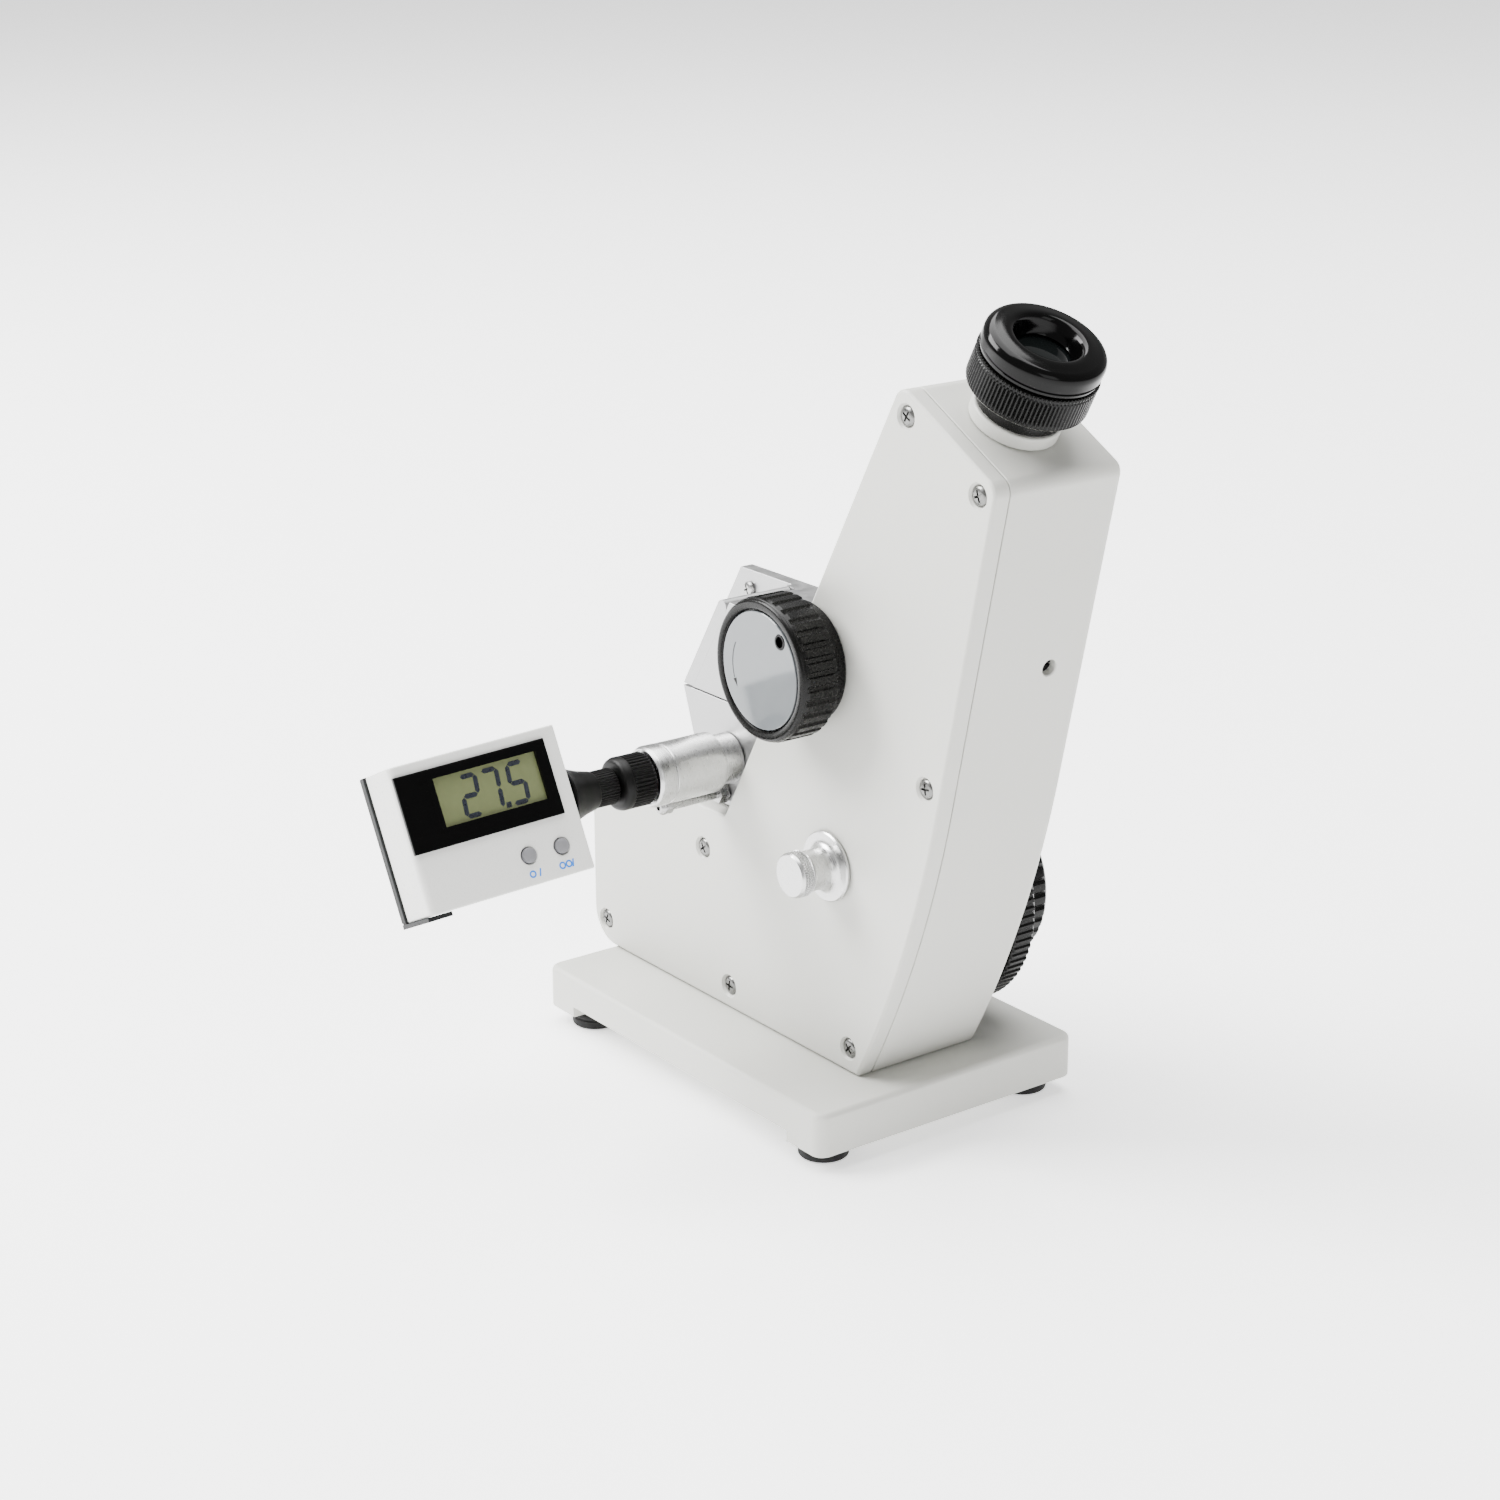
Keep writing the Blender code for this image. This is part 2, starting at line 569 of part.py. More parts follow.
def build_index(black, metal, glass, chrome):
    at = beyond(INDEX_X, INDEX_Z)
    pivot = (INDEX_X, 0, INDEX_Z)
    wheel_in = CASING_FAR + 0.6
    wheel = tube(INDEX_WHEEL_RADIUS, 4.3, wheel_in, INDEX_WHEEL_OUT, at, 40)
    node("index_wheel", wheel, black, pivot=pivot)
    out = INDEX_KNOB_OUT
    rim = INDEX_KNOB_RADIUS
    knob = [(4.3, INDEX_WHEEL_OUT + GAP), (rim, INDEX_WHEEL_OUT + GAP), (rim, out - 1), (rim - 1, out)]
    knob += [(rim - 4, out), (rim - 4.5, out - 1.5), (0, out - 1.5), (0, out - 4), (4.3, out - 4)]
    node("index_knob", turned(knob, at, 32), black, pivot=pivot)
    disc_low = -9.0
    shaft = [(0, disc_low - 2), (2.6, disc_low - 2), (2.6, disc_low + 3), (7.0, disc_low + 3)]
    shaft += [(7.0, disc_low + 6), (4.0, disc_low + 6), (4.0, out - 4.4), (0, out - 4.4)]
    cam = cylinder(9.5, 4, 9, beyond(INDEX_X + 2.2, INDEX_Z + 1.2), 20)
    node("index_shaft", turned(shaft, at, 16), metal, pivot=pivot, add=[cam])
    disc = tube(SCALE_DISC_RADIUS, 2.9, disc_low, disc_low + 2.6, at, 32)
    node("scale_disc", disc, glass, pivot=pivot)

    x, z = MIRROR_PIVOT
    arm = tube(4.2, 2.3, -9, 12, beyond(x, z), 16)
    plate = block((-12, 14), (-9, 12), (3.4, 6.4))
    moved(plate, Matrix.Translation((x, 0, z)) @ Matrix.Rotation(-SIGHT / 2, 4, "Y"))
    lever = block((x - 1.8, x + 1.8), (4.5, 8.5), (INDEX_Z + 12.2, z - 3))
    bore = cylinder(2.3, -20, 20, beyond(x, z))
    node("swing_mirror", arm, chrome, pivot=(x, 0, z), add=[plate, lever], cut=[bore])
    pin = [(0, -11.5), (3.4, -11.5), (3.4, -9.4), (2.0, -9.4), (2.0, FAR_WALL_IN - GAP)]
    pin += [(0, FAR_WALL_IN - GAP)]
    node("mirror_pivot_pin", turned(pin, beyond(x, z), 14), metal)


# ---------------------------------------------------------------- near-side controls


def build_lock(black, grey, metal):
    at = across(LOCK_X, LOCK_Z)
    pivot = (LOCK_X, 0, LOCK_Z)
    rim = LOCK_RADIUS
    out = -LOCK_OUT
    wheel = [(3.8, -COVER_OUT + 0.5), (LOCK_FLANGE_RADIUS, -COVER_OUT + 0.5)]
    wheel += [(LOCK_FLANGE_RADIUS, -LOCK_STEP), (rim - 0.8, -LOCK_STEP), (rim, -LOCK_STEP + 0.8)]
    wheel += [(rim, out - 1.4), (rim - 0.5, out - 0.5), (rim - 1.5, out), (LOCK_DISC_RADIUS + 1.0, out)]
    wheel += [(LOCK_DISC_RADIUS + GAP, out - 0.5), (LOCK_DISC_RADIUS + GAP, out - 1.3), (0, out - 1.3)]
    wheel += [(0, out - 3.3), (3.8, out - 3.3)]
    node("lock_wheel", turned(wheel, at, 36), black, pivot=pivot)
    disc = cylinder(LOCK_DISC_RADIUS, -LOCK_OUT - 1.0, -LOCK_OUT - 0.2, at, 32)
    hole = cylinder(1.7, 0, 60, across(LOCK_X + 9.6, LOCK_Z + 10.6), 12)
    node("lock_disc", disc, grey, pivot=pivot, cut=[hole])
    spindle = [(0, 11.8), (3.5, 11.8), (3.5, 16.5), (3.9, 16.5), (3.9, 17.4), (3.5, 17.4)]
    spindle += [(3.5, -LOCK_OUT - 3.6), (0, -LOCK_OUT - 3.6)]
    cam = block((-2.5, 2.5), (-8, 0), (13.7, 15.3))
    node("lock_spindle", turned(spindle, at, 16), metal, pivot=pivot, add=[moved(cam, at)])


def build_condenser(metal):
    at = across(CONDENSER_X, CONDENSER_Z)
    face = -COVER_OUT + GAP
    seat = [(3.4, 18.2), (5.3, 18.2), (5.3, face), (CONDENSER_FLANGE_RADIUS, face)]
    seat += [(CONDENSER_FLANGE_RADIUS, face + 1.0), (CONDENSER_FLANGE_RADIUS - 0.5, face + 1.4)]
    seat += [(6.3, face + 1.7), (5.7, face + 2.6), (5.7, 32.6), (3.4, 32.6)]
    node("condenser_seat", turned(seat, at, 24), metal)
    out = -CONDENSER_OUT
    cap = [(0, 30.5), (3.1, 30.5), (3.1, 32.9), (CONDENSER_CAP_RADIUS - 0.3, 32.9)]
    cap += [(CONDENSER_CAP_RADIUS, 33.2), (CONDENSER_CAP_RADIUS, out - 0.9)]
    cap += [(CONDENSER_CAP_RADIUS - 0.8, out), (0, out)]
    node("condenser_cap", turned(cap, at, 20), metal, pivot=(CONDENSER_X, 0, CONDENSER_Z))


# ---------------------------------------------------------------- prism unit


def front_frame(foot, top):
    """A frame at the foot of a housing's sloping front: x into the housing, y as it is, z up the slope."""
    up = (Vector((top[0], 0, top[1])) - Vector((foot[0], 0, foot[1]))).normalized()
    frame = Matrix.Identity(4)
    for column, axis in enumerate((Vector((0, 1, 0)).cross(up), Vector((0, 1, 0)), up)):
        for row in range(3):
            frame[row][column] = axis[row]
    frame.translation = Vector((foot[0], 0, foot[1]))
    return frame


UPPER_FRONT = front_frame((NOSE_X, SEAM_HIGH), (UPPER_FRONT_X, UPPER_TOP))
UPPER_SLOPE = (Vector((UPPER_FRONT_X, UPPER_TOP)) - Vector((NOSE_X, SEAM_HIGH))).length
LOWER_FRONT = front_frame((LOWER_FRONT_X, LOWER_BOTTOM), (NOSE_X, SEAM_LOW))
LOWER_SLOPE = (Vector((NOSE_X, SEAM_LOW)) - Vector((LOWER_FRONT_X, LOWER_BOTTOM))).length
SHIELD_UP = UPPER_SLOPE - 1.4
REFLECTOR_UP = 2.6
ALONG_Y = Matrix.Rotation(-pi / 2, 4, "X")
SHIELD_PIVOT = UPPER_FRONT @ Vector((SHIELD_THICK / 2, 0, SHIELD_UP))
REFLECTOR_PIVOT = LOWER_FRONT @ Vector((REFLECTOR_THICK / 2, 0, REFLECTOR_UP))


def along_x(x):
    """A frame on the prism hinge, z along +x."""
    return Matrix.Translation((x, HINGE_Y, HINGE_Z)) @ Matrix.Rotation(pi / 2, 4, "Y")


def hinge_knuckle(low, high, side):
    """A hinge knuckle and the web that ties it to a housing: side 1 is the upper housing, -1 the lower."""
    start = pi - asin(0.9 / HINGE_BARREL)
    sweep = 2 * pi - asin(2.1 / HINGE_BARREL) + asin(0.9 / HINGE_BARREL)
    section = [(PRISM_FAR - 1, HINGE_Z + side * 0.9)]
    for step in range(19):
        angle = start + sweep * step / 18
        section.append((HINGE_Y + HINGE_BARREL * cos(angle), HINGE_Z + side * HINGE_BARREL * sin(angle)))
    section.append((PRISM_FAR - 1, HINGE_Z + side * 2.1))
    bm = prism_between([(-y, z) for y, z in section], low, high)
    return moved(bm, Matrix.Rotation(-pi / 2, 4, "Z"))


def flap(frame, thick, pivot_up, reach, near, far):
    """A plate with a round end on its pivot, lying on a housing's front, and its pivot stub."""
    half = thick / 2
    ends = sorted((pivot_up, pivot_up + reach))
    plate = block((0, thick), (near, far), ends)
    axis = Matrix.Translation((half, 0, pivot_up)) @ ALONG_Y
    barrel = cylinder(half, near, far, axis, 16)
    stub = cylinder(STUB_RADIUS, far - 2, far + 3.4, axis, 12)
    return [moved(shape, frame) for shape in (plate, barrel, stub)]


def build_prisms(alu, steel, glass):
    third = (HINGE_BACK - HINGE_FRONT) / 3
    centre = ((HINGE_FRONT + HINGE_BACK) / 2, HINGE_Y, HINGE_Z)
    bore = cylinder(HINGE_PIN + 0.15, -80, 60, along_x(0), 14)

    upper = [(NOSE_X + 0.5, SEAM_HIGH), (NOSE_X + 0.3, SEAM_HIGH + 0.5), (UPPER_FRONT_X, UPPER_TOP)]
    upper += [(slant_x(UPPER_TOP, UPPER_CLEAR), UPPER_TOP), (slant_x(SEAM_HIGH, UPPER_CLEAR), SEAM_HIGH)]
    lean = (UPPER_FRONT_X - NOSE_X) / (UPPER_TOP - SEAM_HIGH)
    plate = [(PLATE_FRONT_X - lean * (UPPER_TOP - PLATE_BOTTOM), PLATE_BOTTOM), (PLATE_FRONT_X, UPPER_TOP)]
    plate.append((slant_x(UPPER_TOP, UPPER_CLEAR), UPPER_TOP))
    plate.append((slant_x(PLATE_BOTTOM, UPPER_CLEAR), PLATE_BOTTOM))
    knuckle = hinge_knuckle(HINGE_FRONT + third + GAP, HINGE_BACK - third - GAP, 1)
    seat = block((-2, SHIELD_THICK + GAP), (PRISM_NEAR - 5, SHIELD_FAR + GAP), (-5, UPPER_SLOPE + 5))
    stub_axis = Matrix.Translation(SHIELD_PIVOT) @ ALONG_Y
    stub_hole = cylinder(STUB_RADIUS + 0.2, 0, SHIELD_FAR + 3.8, stub_axis, 12)
    screw_hole = cylinder(1.5, -PRISM_FAR - 5, 0, across(*PLATE_SCREW), 10)
    cuts = [moved(seat, UPPER_FRONT), stub_hole, screw_hole, bore]
    cuts.append(block((-26, 2), POCKET_Y, (SEAM_HIGH - 5, SEAM_HIGH + 12)))
    cuts.append(block((-40, -20), (-8, 3), (SEAM_HIGH + 3, SEAM_HIGH + 10)))
    main = prism_between(upper, PRISM_NEAR, PLATE_NEAR + 1)
    far = prism_between(plate, PLATE_NEAR, PRISM_FAR)
    node("upper_prism_housing", main, alu, pivot=centre, add=[far, knuckle], cut=cuts)
    incident = [(-25.7, SEAM_HIGH + 0.1), (-17.5, SEAM_HIGH + 10.8), (1.7, SEAM_HIGH + 10.8)]
    incident += [(1.7, SEAM_HIGH + 0.1)]
    shape = prism_between(incident, POCKET_Y[0] + GAP, POCKET_Y[1] - GAP)
    node("incident_prism", shape, glass, pivot=centre)
    x, z = PLATE_SCREW
    head = [(0, -PRISM_FAR + 1), (1.2, -PRISM_FAR + 1), (1.2, -PLATE_NEAR + GAP), (2.3, -PLATE_NEAR + GAP)]
    head += [(2.3, -PLATE_NEAR + 0.9), (1.6, -PLATE_NEAR + 1.5), (0, -PLATE_NEAR + 1.6)]
    node("plate_screw", turned(head, across(x, z), 12), steel, pivot=centre)

    lower = [(LOWER_FRONT_X, LOWER_BOTTOM), (NOSE_X + 0.2, SEAM_LOW - 0.6), (NOSE_X + 0.6, SEAM_LOW)]
    lower += [(slant_x(SEAM_LOW, GAP), SEAM_LOW), (slant_x(LOWER_BOTTOM, GAP), LOWER_BOTTOM)]
    front_knuckle = hinge_knuckle(HINGE_FRONT, HINGE_FRONT + third - GAP, -1)
    back_knuckle = hinge_knuckle(HINGE_BACK - third + GAP, HINGE_BACK, -1)
    seat = block((-2, REFLECTOR_THICK + GAP), (PRISM_NEAR - 5, REFLECTOR_FAR + GAP), (-5, LOWER_SLOPE + 5))
    stub_hole = cylinder(STUB_RADIUS + 0.2, 0, 40, Matrix.Translation(REFLECTOR_PIVOT) @ ALONG_Y, 12)
    cuts = [moved(seat, LOWER_FRONT), stub_hole, cylinder(HINGE_PIN + 0.15, -80, 60, along_x(0), 14)]
    cuts.append(block((-24, 0), POCKET_Y, (SEAM_LOW - 11, SEAM_LOW + 5)))
    cuts.append(block((-4, 20), (-7, 4), (SEAM_LOW - 9.5, SEAM_LOW - 3)))
    cuts.append(cylinder(6.3, -PRISM_NEAR - 4.1, 40, across(STEM_X, STEM_Z), 16))
    cuts.append(cylinder(2.6, -8, 30, across(STEM_X, STEM_Z), 12))
    cuts.append(cylinder(1.9, -PRISM_NEAR - 5.5, 40, across(NOZZLE_X, NOZZLE_Z), 10))
    cuts.append(cylinder(1.9, PRISM_FAR - 5.5, 40, beyond(NOZZLE_X, NOZZLE_Z), 10))
    main = prism_between(lower, PRISM_NEAR, PRISM_FAR)
    node("lower_prism_housing", main, alu, add=[front_knuckle, back_knuckle], cut=cuts)
    refracting = [(-23.7, SEAM_LOW - 0.1), (-0.3, SEAM_LOW - 0.1), (-0.3, SEAM_LOW - 10.6)]
    refracting += [(-12.0, SEAM_LOW - 10.6)]
    node("refracting_prism", prism_between(refracting, POCKET_Y[0] + GAP, POCKET_Y[1] - GAP), glass)
    pin = cylinder(HINGE_PIN, HINGE_FRONT - 0.8, HINGE_BACK + 0.8, along_x(0), 14)
    node("prism_hinge_pin", pin, steel)


def build_flaps(alu, chrome):
    """The light shield on the upper housing's front, and the mirror flap on the lower housing's front."""
    near = PRISM_NEAR + GAP
    shapes = flap(UPPER_FRONT, SHIELD_THICK, SHIELD_UP, -SHIELD_UP - 3, near, SHIELD_FAR)
    below = block((-60, 10), (-40, 40), (SEAM_HIGH - 20, SEAM_HIGH + 0.2))
    node("light_shield", shapes[0], alu, pivot=SHIELD_PIVOT, add=shapes[1:], cut=[below])
    reach = LOWER_SLOPE - REFLECTOR_UP + 3
    shapes = flap(LOWER_FRONT, REFLECTOR_THICK, REFLECTOR_UP, reach, near, REFLECTOR_FAR)
    above = block((-60, 10), (-40, 40), (SEAM_LOW - 0.2, SEAM_LOW + 20))
    tray = block((1.6, 9), (near + 2, REFLECTOR_FAR - 2), (7, LOWER_SLOPE - 4))
    cuts = [above, moved(tray, LOWER_FRONT)]
    node("reflector_frame", shapes[0], alu, pivot=REFLECTOR_PIVOT, add=shapes[1:], cut=cuts)
    glass = block((1.75, 3.4), (near + 2.3, REFLECTOR_FAR - 2.3), (7.3, LOWER_SLOPE - 4.3))
    node("reflector_mirror", moved(glass, LOWER_FRONT), chrome, pivot=REFLECTOR_PIVOT)


def build_nozzles(steel):
    for name, at, wall in (
        ("nozzle_near", across(NOZZLE_X, NOZZLE_Z), -PRISM_NEAR),
        ("nozzle_far", beyond(NOZZLE_X, NOZZLE_Z), PRISM_FAR),
    ):
        face = wall + GAP
        end = wall + NOZZLE_LENGTH
        pipe = [(0.9, wall - 5), (1.6, wall - 5), (1.6, end - 4.6)]
        pipe += [(2.5, end - 3.6), (1.6, end), (0.9, end)]
        collar = [(1.3, face), (3.3, face), (3.3, face + 3.2), (1.3, face + 3.2)]
        node(name, turned(pipe, at, 12), steel, add=[turned(collar, at, 6)])


# ---------------------------------------------------------------- thermometer


def build_thermometer(alu, black, white, dark, grey):
    at = across(STEM_X, STEM_Z)
    wall = -PRISM_NEAR
    end = -SLEEVE_END
    sleeve = [(4.3, wall - 3.8), (6.0, wall - 3.8), (6.0, wall + GAP), (7.4, wall + GAP)]
    sleeve += [(7.7, wall + 0.9), (7.7, wall + 7.2), (9.1, wall + 8.4), (9.2, end - 6.4)]
    sleeve += [(8.8, end - 5.8), (8.8, end - 5.2), (9.3, end - 4.6), (9.3, end - 1.0)]
    sleeve += [(8.6, end), (5.4, end), (5.4, end - 8.0), (4.3, end - 8.0)]
    node("thermometer_sleeve", turned(sleeve, at, 24), alu)
    nut_end = -NUT_END
    nut = [(4.2, end - 6), (5.2, end - 6), (5.2, end + GAP), (7.9, end + GAP), (8.0, end + 1)]
    nut += [(8.0, nut_end - 2.0), (7.2, nut_end - 0.3), (6.6, nut_end), (4.2, nut_end)]
    pivot = (STEM_X, 0, STEM_Z)
    node("gland_nut", turned(nut, at, 24), black, pivot=pivot)
    case = -STEM_TOP
    probe = [(0, -7), (1.2, -6.2), (2.2, -4.5), (2.2, wall - 3), (3.9, wall - 2), (3.9, nut_end + 0.6)]
    probe += [(5.5, nut_end + 1.2), (5.5, case - 11.2), (6.3, case - 10.4)]
    probe += [(9.6, case), (0, case)]
    node("thermometer_probe", turned(probe, at, 20), black, pivot=pivot)

    frame = display_frame()
    half = (DISPLAY_DEPTH + DISPLAY_BACK_DEPTH) / 2
    low = DISPLAY_NEAR - DISPLAY_LENGTH
    back = -half + DISPLAY_BACK_DEPTH
    ends = (low, DISPLAY_NEAR)
    heights = (-DISPLAY_DOWN, DISPLAY_UP)
    front = block((back, half), ends, heights)
    ease(front, faces_facing(front, (1, 0, 0)), 1.6)
    inside = block((back - 5, half - 2.0), (low + 1.4, DISPLAY_NEAR - 2), (heights[0] + 2, heights[1] - 2))
    window_y = (BEZEL_Y[0] + 1.7, BEZEL_Y[1] - 1.7)
    window_z = (BEZEL_Z[0] + 1.4, BEZEL_Z[1] - 1.4)
    opening = block((0, half + 5), window_y, window_z)
    button_frames = {}
    cuts = [moved(inside, frame), moved(opening, frame)]
    for name, y in BUTTON_PLACES.items():
        out_of_face = Matrix.Translation((0, y, BUTTON_HEIGHT)) @ Matrix.Rotation(pi / 2, 4, "Y")
        button_frames[name] = frame @ out_of_face
        cuts.append(cylinder(2.45, 0, 20, button_frames[name], 14))
    node("display_front", moved(front, frame), white, pivot=pivot, cut=cuts)
    cover = block((-half, back - GAP), (low - 0.6, DISPLAY_NEAR), (heights[0] - 1.2, heights[1]))
    lip = block((back - 2, half - 1.2), (low - 0.6, low + 7), (heights[0] - 1.2 - GAP, heights[0] - GAP))
    node("display_back", moved(cover, frame), dark, pivot=pivot, add=[moved(lip, frame)])
    bezel = block((half + GAP, half + BEZEL_PROUD), BEZEL_Y, BEZEL_Z)
    plug_y = (window_y[0] + GAP, window_y[1] - GAP)
    plug_z = (window_z[0] + GAP, window_z[1] - GAP)
    plug = block((half - 2.5, half + 0.6), plug_y, plug_z)
    screen = block((half - 0.9, half + 5), SCREEN_Y, SCREEN_Z)
    window = moved(bezel, frame)
    node("display_window", window, dark, pivot=pivot, add=[moved(plug, frame)], cut=[moved(screen, frame)])
    stalk = half - 4.6
    profile = [(0, stalk), (3.4, stalk), (3.4, stalk + 1.0), (2.1, stalk + 1.0), (2.1, half + 0.6)]
    profile += [(1.5, half + 1.1), (0, half + 1.2)]
    for name, place in button_frames.items():
        node(name, turned(profile, place, 14), grey, pivot=place @ Vector((0, 0, half)))


# ---------------------------------------------------------------- assembly


def rest_on_origin():
    """Moves the whole instrument so that the origin is under its middle, on the bench."""
    bpy.context.view_layer.update()
    graph = bpy.context.evaluated_depsgraph_get()
    points = []
    for made in bpy.data.objects:
        if made.type == "MESH" and not made.hide_render:
            seen = made.evaluated_get(graph)
            mesh = seen.to_mesh()
            points += [seen.matrix_world @ vertex.co for vertex in mesh.vertices]
            seen.to_mesh_clear()
    low = [min(point[axis] for point in points) for axis in range(3)]
    high = [max(point[axis] for point in points) for axis in range(3)]
    ROOT.location = (-(low[0] + high[0]) / 2, -(low[1] + high[1]) / 2, -low[2])
    bpy.context.view_layer.update()


for old in list(bpy.data.objects):
    bpy.data.objects.remove(old, do_unlink=True)

ROOT = holder("instrument")
PAINTED = paint("painted_body", (0.78, 0.78, 0.75), 0.5)
RUBBER = paint("rubber", (0.02, 0.02, 0.02), 0.8)
STEEL = paint("steel", (0.6, 0.6, 0.6), 0.3, 1.0)
BLACK = paint("black_plastic", (0.03, 0.03, 0.028), 0.45)
GLOSS = paint("gloss_black", (0.02, 0.02, 0.02), 0.15)
GLASS = paint("glass", (0.85, 0.9, 0.9), 0.05)
ALUMINIUM = paint("aluminium", (0.78, 0.78, 0.78), 0.35, 1.0)
MIRROR = paint("mirror", (0.9, 0.9, 0.9), 0.05, 1.0)
GREY = paint("grey_plate", (0.42, 0.44, 0.44), 0.3)
WHITE = paint("white_plastic", (0.85, 0.85, 0.83), 0.35)
DARK = paint("dark_plastic", (0.02, 0.02, 0.02), 0.25)

build_base(PAINTED, RUBBER, STEEL)
build_casing(PAINTED, STEEL)
build_eyepiece(PAINTED, BLACK, GLOSS, GLASS)
build_telescope(STEEL, BLACK, GLASS)
build_dispersion(BLACK, STEEL, ALUMINIUM)
build_index(BLACK, STEEL, GLASS, MIRROR)
build_lock(BLACK, GREY, STEEL)
build_condenser(ALUMINIUM)
build_prisms(ALUMINIUM, STEEL, GLASS)
build_flaps(ALUMINIUM, MIRROR)
build_nozzles(STEEL)
build_thermometer(ALUMINIUM, BLACK, WHITE, DARK, GREY)
rest_on_origin()
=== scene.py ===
"""Looks of the bench refractometer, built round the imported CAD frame.

Shapes are worked out in millimetres in the instrument's own frame, as in the CAD: x towards the
eyepiece, y away from the side cover, z up, with x = y = 0 over the middle of the base plate.
"""

from math import acos, asin, atan2, cos, degrees, pi, radians, sin, sqrt, tan

import bmesh
import bpy
from mathutils import Matrix, Vector


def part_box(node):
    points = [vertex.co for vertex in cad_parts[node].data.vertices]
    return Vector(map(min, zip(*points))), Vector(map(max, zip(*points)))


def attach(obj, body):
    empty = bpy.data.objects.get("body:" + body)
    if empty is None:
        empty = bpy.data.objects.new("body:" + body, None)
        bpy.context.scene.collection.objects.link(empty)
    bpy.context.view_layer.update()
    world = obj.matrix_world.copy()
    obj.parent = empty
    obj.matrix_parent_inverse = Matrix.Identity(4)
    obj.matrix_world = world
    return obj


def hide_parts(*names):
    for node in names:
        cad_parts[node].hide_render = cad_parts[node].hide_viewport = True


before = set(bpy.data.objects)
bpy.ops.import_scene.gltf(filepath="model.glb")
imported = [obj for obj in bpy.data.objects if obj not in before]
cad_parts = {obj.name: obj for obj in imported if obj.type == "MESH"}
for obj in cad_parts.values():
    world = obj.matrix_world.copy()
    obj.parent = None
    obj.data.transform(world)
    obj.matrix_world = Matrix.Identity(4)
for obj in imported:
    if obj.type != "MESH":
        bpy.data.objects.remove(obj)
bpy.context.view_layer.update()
BASE_LOW, BASE_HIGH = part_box("base_plate")
SHIFT = Vector(((BASE_LOW.x + BASE_HIGH.x) / 2, (BASE_LOW.y + BASE_HIGH.y) / 2, 0))
TO_WORLD = Matrix.Translation(SHIFT) @ Matrix.Scale(0.001, 4)
GAP = 0.3


# ---------------------------------------------------------------- materials


def finish(
    name, colour, roughness, metallic=0.0, grain=900, tint=0.06, relief=0.02, spread=0.06,
    stretch=(1, 1, 1), coat=0.0, patches=25, specular=0.5,
):
    """A procedural finish: fine grain in the relief and roughness, and slow patches in the colour."""
    made = bpy.data.materials.new(name)
    made.use_nodes = True
    nodes = made.node_tree.nodes
    links = made.node_tree.links
    shader = nodes["Principled BSDF"]
    shader.inputs["Metallic"].default_value = metallic
    shader.inputs["Coat Weight"].default_value = coat
    shader.inputs["Coat Roughness"].default_value = 0.08
    shader.inputs["Specular IOR Level"].default_value = specular
    place = nodes.new("ShaderNodeTexCoord")
    scale = nodes.new("ShaderNodeMapping")
    scale.inputs["Scale"].default_value = stretch
    links.new(place.outputs["Object"], scale.inputs["Vector"])
    fine = nodes.new("ShaderNodeTexNoise")
    fine.inputs["Scale"].default_value = grain
    fine.inputs["Detail"].default_value = 4.0
    links.new(scale.outputs["Vector"], fine.inputs["Vector"])
    slow = nodes.new("ShaderNodeTexNoise")
    slow.inputs["Scale"].default_value = patches
    slow.inputs["Detail"].default_value = 3.0
    links.new(place.outputs["Object"], slow.inputs["Vector"])
    both = nodes.new("ShaderNodeMath")
    both.operation = "ADD"
    links.new(fine.outputs["Fac"], both.inputs[0])
    links.new(slow.outputs["Fac"], both.inputs[1])
    ramp = nodes.new("ShaderNodeMapRange")
    ramp.inputs["From Min"].default_value = 0.6
    ramp.inputs["From Max"].default_value = 1.4
    links.new(both.outputs[0], ramp.inputs["Value"])
    mix = nodes.new("ShaderNodeMix")
    mix.data_type = "RGBA"
    mix.inputs["A"].default_value = (*[value * (1 - tint) for value in colour], 1)
    mix.inputs["B"].default_value = (*[min(1.0, value * (1 + tint)) for value in colour], 1)
    links.new(ramp.outputs["Result"], mix.inputs["Factor"])
    links.new(mix.outputs["Result"], shader.inputs["Base Color"])
    gloss = nodes.new("ShaderNodeMapRange")
    gloss.inputs["From Min"].default_value = 0.3
    gloss.inputs["From Max"].default_value = 0.7
    gloss.inputs["To Min"].default_value = max(0.02, roughness - spread)
    gloss.inputs["To Max"].default_value = roughness + spread
    links.new(fine.outputs["Fac"], gloss.inputs["Value"])
    links.new(gloss.outputs["Result"], shader.inputs["Roughness"])
    if relief:
        bump = nodes.new("ShaderNodeBump")
        bump.inputs["Distance"].default_value = relief * 0.001
        bump.inputs["Strength"].default_value = 1.0
        links.new(fine.outputs["Fac"], bump.inputs["Height"])
        links.new(bump.outputs["Normal"], shader.inputs["Normal"])
    return made


def glassy(name, colour, roughness, transmission):
    """A finish that lets light through."""
    made = finish(name, colour, roughness, grain=60, tint=0.05, relief=0, spread=0.01)
    shader = made.node_tree.nodes["Principled BSDF"]
    shader.inputs["Transmission Weight"].default_value = transmission
    shader.inputs["Coat Weight"].default_value = 0.6
    return made


